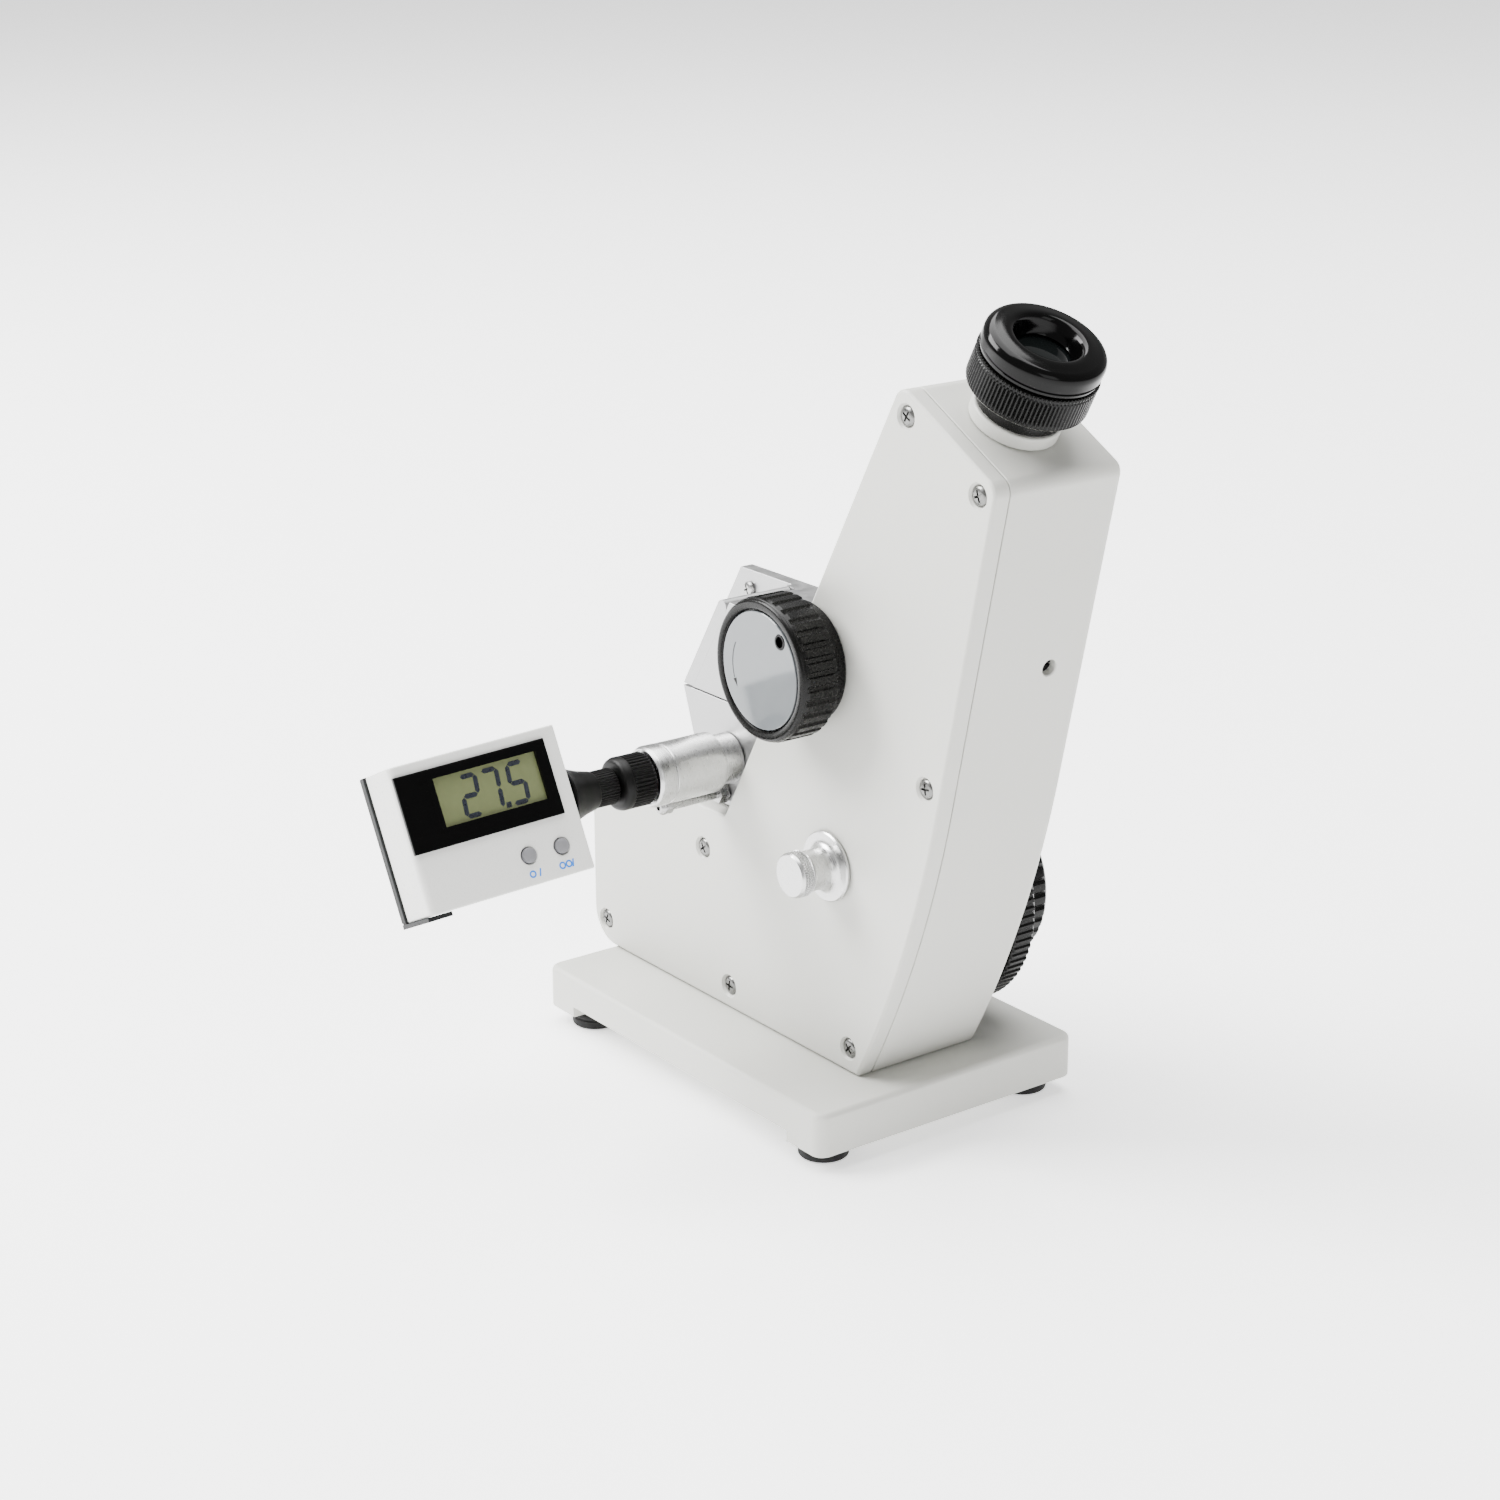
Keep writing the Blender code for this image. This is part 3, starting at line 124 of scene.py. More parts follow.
PAINT = finish("enamel", (0.52, 0.52, 0.485), 0.42, grain=1500, tint=0.012, relief=0.03, spread=0.05)
RUBBER = finish(
    "foot_rubber", (0.005, 0.005, 0.005), 0.7, grain=700, tint=0.25, relief=0.03, specular=0.3,
)
STEEL = finish("bright_steel", (0.36, 0.36, 0.355), 0.28, 1.0, grain=1200, relief=0.004)
BLACK = finish(
    "black_moulding", (0.0018, 0.0018, 0.0016), 0.27,
    grain=1100, tint=0.2, relief=0, spread=0.02, specular=0.16
)
SOFT_BLACK = finish(
    "soft_black", (0.0016, 0.0016, 0.0015), 0.42,
    grain=900, tint=0.2, relief=0.001, spread=0.03, specular=0.14
)
GLOSS = finish(
    "gloss_moulding", (0.0008, 0.0008, 0.0008), 0.12,
    grain=300, tint=0.2, relief=0, spread=0.02, specular=0.14
)
TURNED = finish(
    "turned_aluminium", (0.55, 0.55, 0.545), 0.3, 1.0, grain=500, tint=0.05, relief=0.002, stretch=(
        1, 9, 1,
    )
)
MILLED = finish(
    "milled_aluminium", (0.40, 0.40, 0.40), 0.4, 1.0, grain=400, tint=0.05, relief=0.003, stretch=(
        1, 1, 9,
    )
)
SCREW = finish("screw_steel", (0.17, 0.17, 0.165), 0.3, 1.0, grain=1400, relief=0.003)
DISC = finish(
    "label_grey", (0.125, 0.135, 0.142), 0.1, grain=200, tint=0.04, relief=0, spread=0.02, coat=0.3,
)
WHITE = finish("case_white", (0.68, 0.68, 0.655), 0.30, grain=1800, tint=0.01, relief=0.008, spread=0.04)
DARK = finish(
    "case_back", (0.010, 0.0105, 0.011), 0.5, grain=1000, tint=0.15, relief=0.004, specular=0.2,
)
PANE = finish(
    "window_black", (0.0006, 0.0006, 0.0006), 0.06,
    grain=150, tint=0.3, relief=0, spread=0.015, specular=0.12
)
LCD = finish(
    "lcd_olive", (0.11, 0.125, 0.055), 0.22, grain=500, tint=0.05, relief=0, spread=0.03,
    patches=90,
)
DIGIT = finish("lcd_segment", (0.006, 0.009, 0.016), 0.30, grain=800, tint=0.2, relief=0)
BUTTON = finish("button_grey", (0.16, 0.16, 0.17), 0.45, grain=1200, tint=0.05, relief=0.01)
BLUE = finish("mark_blue", (0.008, 0.16, 0.62), 0.4, grain=1500, tint=0.06, relief=0)
MIRROR = finish("mirror_face", (0.92, 0.92, 0.92), 0.03, 1.0, grain=80, tint=0.01, relief=0, spread=0.01)
EYE_GLASS = finish(
    "eye_glass", (0.004, 0.005, 0.005), 0.04, grain=60, tint=0.1, relief=0, spread=0.01, specular=0.25
)
LENS = glassy("coated_glass", (0.75, 0.85, 0.88), 0.03, 0.9)
FLOOR = finish("studio_floor", (0.96, 0.96, 0.96), 0.9, grain=40, tint=0.004, relief=0)
FLOOR.node_tree.nodes["Principled BSDF"].inputs["Emission Color"].default_value = (1, 1, 1, 1)
FLOOR.node_tree.nodes["Principled BSDF"].inputs["Emission Strength"].default_value = 0.9


# ---------------------------------------------------------------- shapes in millimetres


def lathe(profile, steps=96, pattern=(0,)):
    """A closed turned solid from (radius, height) or (radius, height, groove depth) points.

    Both ends of the profile are on the axis, or the profile closes on itself as a ring.
    """
    bm = bmesh.new()
    rings = []
    for point in profile:
        radius, height = point[:2]
        depth = point[2] if len(point) > 2 else 0
        if radius == 0:
            rings.append([bm.verts.new((0, 0, height))])
            continue
        ring = []
        for step in range(steps):
            reach = radius - depth * pattern[step % len(pattern)]
            angle = 2 * pi * step / steps
            ring.append(bm.verts.new((reach * cos(angle), reach * sin(angle), height)))
        rings.append(ring)
    pairs = list(zip(rings, rings[1:]))
    if len(rings[0]) > 1:
        pairs.append((rings[-1], rings[0]))
    for low, high in pairs:
        for step in range(steps):
            corners = []
            for ring, at in ((low, step), (low, step + 1), (high, step + 1), (high, step)):
                vert = ring[at % len(ring)]
                if vert not in corners:
                    corners.append(vert)
            if len(corners) > 2:
                bm.faces.new(corners)
    bmesh.ops.recalc_face_normals(bm, faces=bm.faces)
    return bm


def arc(radius_at, height_at, reach, start, end, steps=6):
    """Profile points round a fillet, with angles in degrees from the radius direction."""
    points = []
    for step in range(steps + 1):
        angle = radians(start + (end - start) * step / steps)
        points.append((radius_at + reach * cos(angle), height_at + reach * sin(angle)))
    return points


def slab(points, low, high):
    """A closed outline of (x, z) points carried from y = low to y = high."""
    bm = bmesh.new()
    base = bm.faces.new([bm.verts.new((x, low, z)) for x, z in points])
    grown = bmesh.ops.extrude_face_region(bm, geom=[base])["geom"]
    lifted = [item for item in grown if isinstance(item, bmesh.types.BMVert)]
    bmesh.ops.translate(bm, verts=lifted, vec=(0, high - low, 0))
    bmesh.ops.recalc_face_normals(bm, faces=bm.faces)
    return bm


def block(x_range, y_range, z_range):
    """A box between (low, high) limits on each axis."""
    bm = bmesh.new()
    size = [high - low for low, high in (x_range, y_range, z_range)]
    middle = [(high + low) / 2 for low, high in (x_range, y_range, z_range)]
    bmesh.ops.create_cube(bm, size=1.0, matrix=Matrix.Translation(middle) @ Matrix.Diagonal((*size, 1)))
    return bm


def moved(bm, matrix):
    """The same bmesh, moved."""
    bmesh.ops.transform(bm, matrix=matrix, verts=bm.verts)
    return bm


def rounded(corners, steps=12):
    """An outline of (x, z, radius) corners, each turned into an arc."""
    points = []
    for index, (x, z, radius) in enumerate(corners):
        here = Vector((x, z))
        if radius == 0:
            points.append((x, z))
            continue
        before = (Vector(corners[index - 1][:2]) - here).normalized()
        after = (Vector(corners[(index + 1) % len(corners)][:2]) - here).normalized()
        half = acos(max(-1.0, min(1.0, before.dot(after)))) / 2
        centre = here + (before + after).normalized() * (radius / sin(half))
        start = here + before * radius / tan(half) - centre
        end = here + after * radius / tan(half) - centre
        first = atan2(start.y, start.x)
        sweep = (atan2(end.y, end.x) - first + pi) % (2 * pi) - pi
        for step in range(steps + 1):
            angle = first + sweep * step / steps
            points.append((centre.x + radius * cos(angle), centre.y + radius * sin(angle)))
    return points


def inset(points, distance):
    """A clockwise outline moved inwards."""
    made = []
    for index, point in enumerate(points):
        here = Vector(point)
        into = (here - Vector(points[index - 1])).normalized()
        out = (Vector(points[(index + 1) % len(points)]) - here).normalized()
        side = (into + out).normalized()
        inward = Vector((side.y, -side.x))
        made.append(tuple(here + inward * distance / max(0.3, inward.dot(Vector((into.y, -into.x))))))
    return made


def join_shapes(shapes):
    """Several loose shapes as one bmesh."""
    joined = bmesh.new()
    for shape in shapes:
        mesh = bpy.data.meshes.new("part")
        shape.to_mesh(mesh)
        shape.free()
        joined.from_mesh(mesh)
        bpy.data.meshes.remove(mesh)
    return joined


def round_edges(bm, direction, size, segments=5):
    """Rounds the edges round the faces that look along a direction."""
    bm.normal_update()
    faces = [face for face in bm.faces if face.normal.dot(Vector(direction)) > 0.99]
    edges = list({edge for face in faces for edge in face.edges})
    bmesh.ops.bevel(bm, geom=edges, offset=size, segments=segments, profile=0.5, affect="EDGES")
    return bm


def round_all(bm, size, segments=3, over=40):
    """Rounds every edge sharper than an angle in degrees."""
    edges = []
    for edge in bm.edges:
        if len(edge.link_faces) == 2 and degrees(edge.calc_face_angle(0)) > over:
            edges.append(edge)
    bmesh.ops.bevel(bm, geom=edges, offset=size, segments=segments, profile=0.5, affect="EDGES")
    return bm


# ---------------------------------------------------------------- frames


def across(x, z, y=0.0):
    """z axis along -y, for what sticks out of the side cover."""
    return Matrix.Translation((x, y, z)) @ Matrix.Rotation(pi / 2, 4, "X")


def beyond(x, z, y=0.0):
    """z axis along +y, for what sticks out of the far wall."""
    return Matrix.Translation((x, y, z)) @ Matrix.Rotation(-pi / 2, 4, "X")


SIGHT = radians(61.7)
SIGHT_END = (90.7, 215.8)
COMPENSATOR_DOWN = 74.7
LOCK = (32.9, 140.1)
CONDENSER = (42.0, 80.3)
INDEX = (35.0, 61.0)
DISPERSION = (
    SIGHT_END[0] - COMPENSATOR_DOWN * cos(SIGHT), SIGHT_END[1] - COMPENSATOR_DOWN * sin(SIGHT),
)


def sight():
    """z axis up the line of sight, with its origin where that line leaves the casing's head."""
    lean = Matrix.Rotation(pi / 2 - SIGHT, 4, "Y")
    return Matrix.Translation((SIGHT_END[0], 0, SIGHT_END[1])) @ lean


def front_frame(foot, top):
    """At the foot of a sloping front: x into the housing, z up the slope."""
    up = (Vector((top[0], 0, top[1])) - Vector((foot[0], 0, foot[1]))).normalized()
    made = Matrix.Identity(4)
    for column, axis in enumerate((Vector((0, 1, 0)).cross(up), Vector((0, 1, 0)), up)):
        for row in range(3):
            made[row][column] = axis[row]
    made.translation = Vector((foot[0], 0, foot[1]))
    return made


# ---------------------------------------------------------------- pieces


def raw(name, bm):
    """An object from a bmesh in millimetres, which it frees."""
    mesh = bpy.data.meshes.new(name)
    bmesh.ops.transform(bm, matrix=TO_WORLD, verts=bm.verts)
    bm.to_mesh(mesh)
    bm.free()
    made = bpy.data.objects.new(name, mesh)
    bpy.context.scene.collection.objects.link(made)
    return made


def piece(name, bm, material, body, nodes=(), join=(), cut=(), sharp=32):
    """A shown piece: a shape with others joined to it and cut from it, riding on a CAD body."""
    made = raw(name, bm)
    helpers = []
    for operation, shapes in (("UNION", join), ("DIFFERENCE", cut)):
        for index, shape in enumerate(shapes):
            helper = raw(f"{name}_{operation.lower()}_{index}", shape)
            helpers.append(helper)
            step = made.modifiers.new(f"{operation}_{index}", "BOOLEAN")
            step.operation = operation
            step.object = helper
    if helpers:
        bpy.context.view_layer.update()
        graph = bpy.context.evaluated_depsgraph_get()
        mesh = bpy.data.meshes.new_from_object(made.evaluated_get(graph))
        made.modifiers.clear()
        made.data = mesh
        for helper in helpers:
            bpy.data.objects.remove(helper)
    made.data.materials.clear()
    made.data.materials.append(material)
    made.data.shade_smooth()
    made.data.set_sharp_from_angle(angle=radians(sharp))
    weigh = made.modifiers.new("weigh", "WEIGHTED_NORMAL")
    weigh.keep_sharp = True
    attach(made, body)
    if nodes:
        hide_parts(*nodes)
    return made


def carry(node, material):
    """A CAD node that stays as it is, with a better material."""
    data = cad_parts[node]
    if not data.material_slots:
        data.data.materials.append(material)
    for entry in data.material_slots:
        entry.material = material


# ---------------------------------------------------------------- casing, cover and base

COVER_OUT = -23.3
COVER_IN = -17.9
CASING_IN = -17.6
CASING_FAR = 23.0
BOTTOM = 18.9
TOE_X = -80.7
STEP = (-9.1, 80.9)
HEAD = (71.4, 226.1)
CREST = (111.1, 204.8)
BEND = (90.0, 110.0)
SLANT = atan2(HEAD[1] - STEP[1], HEAD[0] - STEP[0])
BACK_LEAN = radians(12.57)
BACK_SWEEP = 350
BOLTS_X = (-45.0, 30.0)
FEET = {
    "front_near": (-59, -38), "front_far": (-59, 38), "back_near": (59, -38), "back_far": (59, 38),
}
COVER_SCREWS = (
    (-74.0, 26.7),
    (-20.2, 67.2),
    (-7.2, 26.0),
    (51.5, 26.1),
    (84.3, 115.3),
    (74.2, 217.4),
    (103.8, 201.5),
)


def slant_x(z, clear=0.0):
    """Where the casing's slanted front is at a height, with a clearance in front of it."""
    return STEP[0] + (z - STEP[1]) / tan(SLANT) - clear / sin(SLANT)


def casing_outline(inward=0.0):
    """Clockwise from the toe: up the front, along the step, up the slant, over, down the back."""
    reach = BACK_SWEEP - inward
    centre_x = BEND[0] - BACK_SWEEP * cos(BACK_LEAN)
    centre_z = BEND[1] + BACK_SWEEP * sin(BACK_LEAN)
    last = asin((centre_z - BOTTOM - inward) / reach)
    heel = (centre_x + BACK_SWEEP * cos(last), BOTTOM)
    corners = [(TOE_X, BOTTOM), (TOE_X, STEP[1]), STEP, HEAD, CREST, BEND, heel]
    corners = inset(corners, inward)[:5]
    inner_radius = 1.5
    radii = [11.0, 14.0, inner_radius, 4.5, 4.5]
    outline = []
    for (x, z), radius in zip(corners, radii):
        grown = radius + inward if radius == inner_radius else max(0.7, radius - inward)
        outline.append((x, z, grown))
    for step in range(29):
        angle = BACK_LEAN + (last - BACK_LEAN) * step / 28
        outline.append((centre_x + reach * cos(angle), centre_z - reach * sin(angle), 0))
    return rounded(outline)


def calibration_frame():
    """z axis out of the back wall, at its screw hole."""
    z = 147.7
    x = CREST[0] - (CREST[1] - z) * tan(BACK_LEAN)
    out = Vector((cos(BACK_LEAN), 0, -sin(BACK_LEAN)))
    return Matrix.Translation((x, 8.7, z)) @ out.to_track_quat("Z", "Y").to_matrix().to_4x4()


def build_body():
    """Casing, side cover and its screws, base plate and feet."""
    outline = casing_outline()
    shell = slab(outline, CASING_IN, CASING_FAR)
    round_edges(shell, (0, 1, 0), 3.6, 8)
    round_edges(shell, (0, -1, 0), 0.35, 3)
    inner = slab(casing_outline(3.8), CASING_IN - 5, CASING_FAR - 3.8)
    cuts = [inner]
    cuts.append(moved(lathe([(0, -9), (11.3, -9), (11.3, 6), (0, 6)], 64), sight()))
    hole = [(0, -12), (2.4, -12), (2.4, -0.3), (2.9, 0.2), (2.9, 5), (0, 5)]
    cuts.append(moved(lathe(hole, 32), calibration_frame()))
    cuts.append(moved(lathe([(0, 10), (4.35, 10), (4.35, 40), (0, 40)], 32), beyond(*INDEX)))
    cuts.append(moved(lathe([(0, 10), (3.35, 10), (3.35, 40), (0, 40)], 32), beyond(*DISPERSION)))
    cuts.append(block((slant_x(109) - 8, slant_x(109) + 14), (-8, 8), (104, 114)))
    for bolt_x in BOLTS_X:
        cuts.append(
            moved(
                lathe([(0, 0), (2.3, 0), (2.3, 30), (0, 30)], 24),
                Matrix.Translation((bolt_x, 0, 0)),
            )
        )
    piece("casing_shell", shell, PAINT, "frame", ["casing"], cut=cuts)

    plate = slab(outline, COVER_OUT, COVER_IN)
    round_edges(plate, (0, -1, 0), 1.0, 5)
    round_edges(plate, (0, 1, 0), 0.35, 3)
    cuts = []
    for x, z in COVER_SCREWS:
        sunk = [
            (0, 10), (1.9, 10), (1.9, 21.7), (3.1, 21.7), (3.1, 22.5), (3.9, 23.5), (3.9, 40),
            (0, 40),
        ]
        cuts.append(moved(lathe(sunk, 40), across(x, z)))
    cuts.append(moved(lathe([(0, 0), (3.9, 0), (3.9, 40), (0, 40)], 40), across(*LOCK)))
    cuts.append(moved(lathe([(0, 0), (5.6, 0), (5.6, 40), (0, 40)], 40), across(*CONDENSER)))
    piece("cover_plate", plate, PAINT, "frame", ["side_cover"], cut=cuts)

    for number, (x, z) in enumerate(COVER_SCREWS, 1):
        turn = Matrix.Rotation(0.35 + 0.9 * number, 4, "Z")
        head = [(0, 26.5 - 17.6), (1.4, 26.5 - 17.6), (1.4, 22.0), (2.8, 22.0), (2.8, 22.4)]
        head += [(2.5, 22.8), (1.9, 23.05), (1.0, 23.15), (0, 23.2)]
        slots = []
        for quarter in (0, pi / 2):
            arm = block((-1.7, 1.7), (-0.33, 0.33), (22.3, 24))
            slots.append(moved(arm, across(x, z) @ turn @ Matrix.Rotation(quarter, 4, "Z")))
        name = f"cover_screw_{number}"
        piece(
            f"{name}_head", moved(lathe(head, 40), across(x, z)), SCREW, "frame", [name],
            cut=slots,
        )

    corners = []
    for x, y in ((-70.65, -48.5), (-70.65, 48.5), (70.65, 48.5), (70.65, -48.5)):
        corners.append((x, y, 4.0))
    plate = slab(rounded(corners, 10), 0, 13.6)
    moved(plate, Matrix.Translation((0, 0, 5.0)) @ Matrix.Rotation(pi / 2, 4, "X"))
    round_edges(plate, (0, 0, 1), 1.8, 6)
    round_edges(plate, (0, 0, -1), 0.5, 3)
    cuts = [block((-56, 55), (-90, 90), (0, 8.5))]
    for x in BOLTS_X:
        step = [(0, 0), (4.6, 0), (4.6, 12.7), (2.3, 12.7), (2.3, 25), (0, 25)]
        cuts.append(moved(lathe(step, 32), Matrix.Translation((x, 0, 0))))
    for x, y in FEET.values():
        cuts.append(
            moved(lathe([(0, 0), (1.7, 0), (1.7, 11), (0, 11)], 20), Matrix.Translation((x, y, 0)))
        )
    piece("base_casting", plate, PAINT, "frame", ["base_plate"], cut=cuts)

    for name, (x, y) in FEET.items():
        pad = [(0, 1.2), (2.4, 1.2), (2.4, 0.2), (2.6, 0), *arc(6.5, 1.0, 1.0, -90, 0, 5)]
        pad += [
            (7.5, 2.6), (7.2, 2.9), (7.2, 3.3), (7.5, 3.6), (7.5, 4.4), (7.2, 4.7), (1.3, 4.7),
            (1.3, 9.5), (0, 9.5),
        ]
        made = moved(lathe(pad, 56), Matrix.Translation((x, y, 0)))
        piece(f"foot_{name}_pad", made, RUBBER, "frame", [f"foot_{name}"])


# ---------------------------------------------------------------- eyepiece


def build_eyepiece():
    """Collar, tube, focusing ring, eyecup and lens on the line of sight."""
    at = sight()
    collar = [(9.8, -8), (11.0, -8), (11.0, GAP), (12.4, GAP), (12.7, 0.6), (12.7, 3.4)]
    collar += [*arc(12.0, 3.5, 0.7, 0, 90, 5), (9.8, 4.2)]
    piece(
        "eyepiece_flange", moved(lathe(collar, 112), at), PAINT, "frame", ["eyepiece_collar"],
    )
    draw = [(7.6, -12), (9.3, -12), (9.3, 4.6), (11.9, 4.6), (12.2, 4.9), (12.2, 8.8), (11.8, 9.2)]
    draw += [(10.4, 9.2), (10.4, 18.6), (7.6, 18.6)]
    piece(
        "eyepiece_draw_tube", moved(lathe(draw, 96), at), BLACK, "frame", ["eyepiece_tube"],
    )
    ribs = (0, 0, 0, 0.75, 1, 0.75)
    ring = [
        (10.8, 9.6), (15.7, 9.6), (16.2, 9.9), (16.9, 10.6, 0.0), (17.1, 11.0, 0.45),
        (17.15, 12.0, 0.5),
    ]
    ring += [(17.15, 18.2, 0.5), (17.1, 18.8, 0.45), (16.8, 19.2, 0), (16.8, 19.5, 0)]
    ring += [
        (17.2, 19.6, 0.5), (17.3, 20.0, 0.6), (17.2, 20.4, 0.5), (16.4, 20.5, 0), (7.9, 20.5),
        (7.9, 19.2),
    ]
    ring += [(10.8, 19.2)]
    made = moved(lathe(ring, 92 * 6, ribs), at)
    piece("focusing_grip", made, BLACK, "focusing", ["focusing_ring"])
    cup = [
        (9.3, 20.8), (16.4, 20.8), (16.8, 21.2), (16.9, 21.9), (16.5, 22.2), (16.5, 22.5),
        (17.0, 22.8),
    ]
    cup += [(17.05, 24.6), *arc(14.3, 25.0, 2.75, 5, 88, 12), (13.2, 27.95), (12.0, 28.15)]
    cup += [
        (11.0, 28.2), (10.2, 28.05), (9.7, 27.6), (9.3, 26.8), (8.7, 25.2), (8.2, 24.0),
        (7.8, 23.4), (9.3, 23.4),
    ]
    piece(
        "eyecup_moulding", moved(lathe(cup, 128), at), GLOSS, "eyepiece_slide", ["eyecup"],
    )
    lens = [
        (0, 20.4), (4, 20.55), (7.4, 20.8), (8.9, 20.8), (8.9, 22.4), (6.5, 22.8), (3.4, 23.1),
        (0, 23.2),
    ]
    piece(
        "eye_lens_glass", moved(lathe(lens, 72), at), EYE_GLASS, "eyepiece_slide", ["eye_lens"],
    )


# ---------------------------------------------------------------- knobs


def build_knobs():
    """Lock wheel with its disc, index wheel and knob, and the dispersion ring and knob."""
    at = across(*LOCK)
    ribs = (0, 0, 0, 0, 0, 0, 0.8, 1, 1, 0.8)
    wheel = [
        (3.8, 23.8), (17.2, 23.8), (17.5, 24.2), (17.5, 28.6), (17.8, 29.0), (20.0, 29.0),
        (20.8, 29.4, 0.3),
    ]
    wheel += [
        (21.0, 30.0, 0.75), (21.0, 38.9, 0.75), (20.9, 39.5, 0.6), (20.7, 39.9, 0), (20.6, 40.5, 0),
    ]
    wheel += [
        *arc(19.4, 40.4, 1.1, 10, 100, 7), (18.4, 41.45), (17.8, 41.2), (17.4, 40.6), (17.4, 40.2),
        (0, 40.2),
    ]
    wheel += [(0, 38.2), (3.8, 38.2)]
    made = moved(lathe(wheel, 320, ribs), at)
    piece("lock_wheel_grip", made, BLACK, "lock", ["lock_wheel"])
    hole_at = (LOCK[0] + 9.6, LOCK[1] + 10.6)
    disc = [(0, 40.5), (17.0, 40.5), (17.05, 40.6), (17.05, 41.15), (16.9, 41.3), (0, 41.3)]
    hole = moved(lathe([(0, 30), (1.7, 30), (1.7, 50), (0, 50)], 40), across(*hole_at))
    made = moved(lathe(disc, 112), at)
    piece("lock_disc_plate", made, DISC, "lock", ["lock_disc"], cut=[hole])
    eyelet = [(1.45, 40.5), (1.62, 40.5), (1.62, 41.32), (2.3, 41.32), (2.15, 41.5), (1.6, 41.5)]
    piece(
        "lock_disc_eyelet", moved(lathe(eyelet, 48), across(*hole_at)), GLOSS, "lock",
    )
    mark = []
    for step in range(25):
        angle = radians(152 + 50 * step / 24)
        mark.append((12.6 * cos(angle), 12.6 * sin(angle)))
    for step in range(25):
        angle = radians(202 - 50 * step / 24)
        mark.append((12.35 * cos(angle), 12.35 * sin(angle)))
    arrow = slab(mark, 0, 0.04)
    tip = radians(203)
    head = [(11.7 * cos(tip), 11.7 * sin(tip)), (13.2 * cos(tip), 13.2 * sin(tip))]
    head.append((12.5 * cos(tip + 0.2), 12.5 * sin(tip + 0.2)))
    lay = Matrix.Translation((LOCK[0], -41.3, LOCK[1]))
    arrow = moved(arrow, lay @ Matrix.Translation((0, -0.041, 0)))
    pointer = moved(slab(head, 0, 0.04), lay @ Matrix.Translation((0, -0.041, 0)))
    piece("lock_arrow", arrow, SOFT_BLACK, "lock")
    piece("lock_arrow_head", pointer, SOFT_BLACK, "lock")

    at = beyond(*INDEX)
    ribs = (0, 0, 0, 0.8, 1, 0.8)
    wheel = [
        (4.3, 23.6), (34.4, 23.6), (35.4, 24.0), (35.9, 24.5, 0.5), (36, 25.2, 0.7),
        (36, 30.4, 0.7),
    ]
    wheel += [(35.8, 31.0, 0.5), (35.0, 31.5, 0), (4.3, 31.5)]
    piece(
        "index_wheel_grip", moved(lathe(wheel, 90 * 6, ribs), at), BLACK, "index", ["index_wheel"],
    )
    ribs = (0, 0, 0, 0, 0, 0.7, 1, 0.7)
    knob = [
        (4.3, 31.8), (25.4, 31.8), (26.2, 32.3, 0.4), (26.5, 33.0, 0.8), (26.5, 43.2, 0.8),
        (26.2, 44.0, 0.4),
    ]
    knob += [
        (25.4, 44.8), (24.6, 45.0), (22.8, 45.0), (22.2, 44.6), (21.9, 43.5), (0, 43.5), (0, 41),
        (4.3, 41),
    ]
    piece(
        "index_knob_grip", moved(lathe(knob, 40 * 8, ribs), at), BLACK, "index", ["index_knob"],
    )

    at = beyond(*DISPERSION)
    ring = [
        (3.5, 23.3), (18.7, 23.3), (19.0, 23.6), (19.0, 25.0), (17.6, 26.4), (17.2, 26.5),
        (3.5, 26.5),
    ]
    made = moved(lathe(ring, 112), at)
    piece("dispersion_ring", made, TURNED, "frame", ["dispersion_scale_ring"])
    ticks = []
    for tick in range(60):
        long = 1.5 if tick % 10 == 0 else 0.9
        bar = block((17.75, 17.75 + long * 0.71), (-0.06, 0.06), (26.25 - long * 0.71, 26.32))
        ticks.append(moved(bar, Matrix.Rotation(2 * pi * tick / 60, 4, "Z")))
    piece("dispersion_ticks", moved(join_shapes(ticks), at), SOFT_BLACK, "frame")
    knob = [
        (3.3, 27.0), (15.4, 27.0), (16.2, 27.5, 0.3), (16.5, 28.2, 0.6), (16.5, 38.0, 0.6),
        (16.2, 38.7, 0.3),
    ]
    knob += [(15.4, 39.3), (14.4, 39.5), (0, 39.5), (0, 36.5), (3.3, 36.5)]
    made = moved(lathe(knob, 36 * 8, ribs), at)
    piece("dispersion_grip", made, BLACK, "dispersion", ["dispersion_knob"])


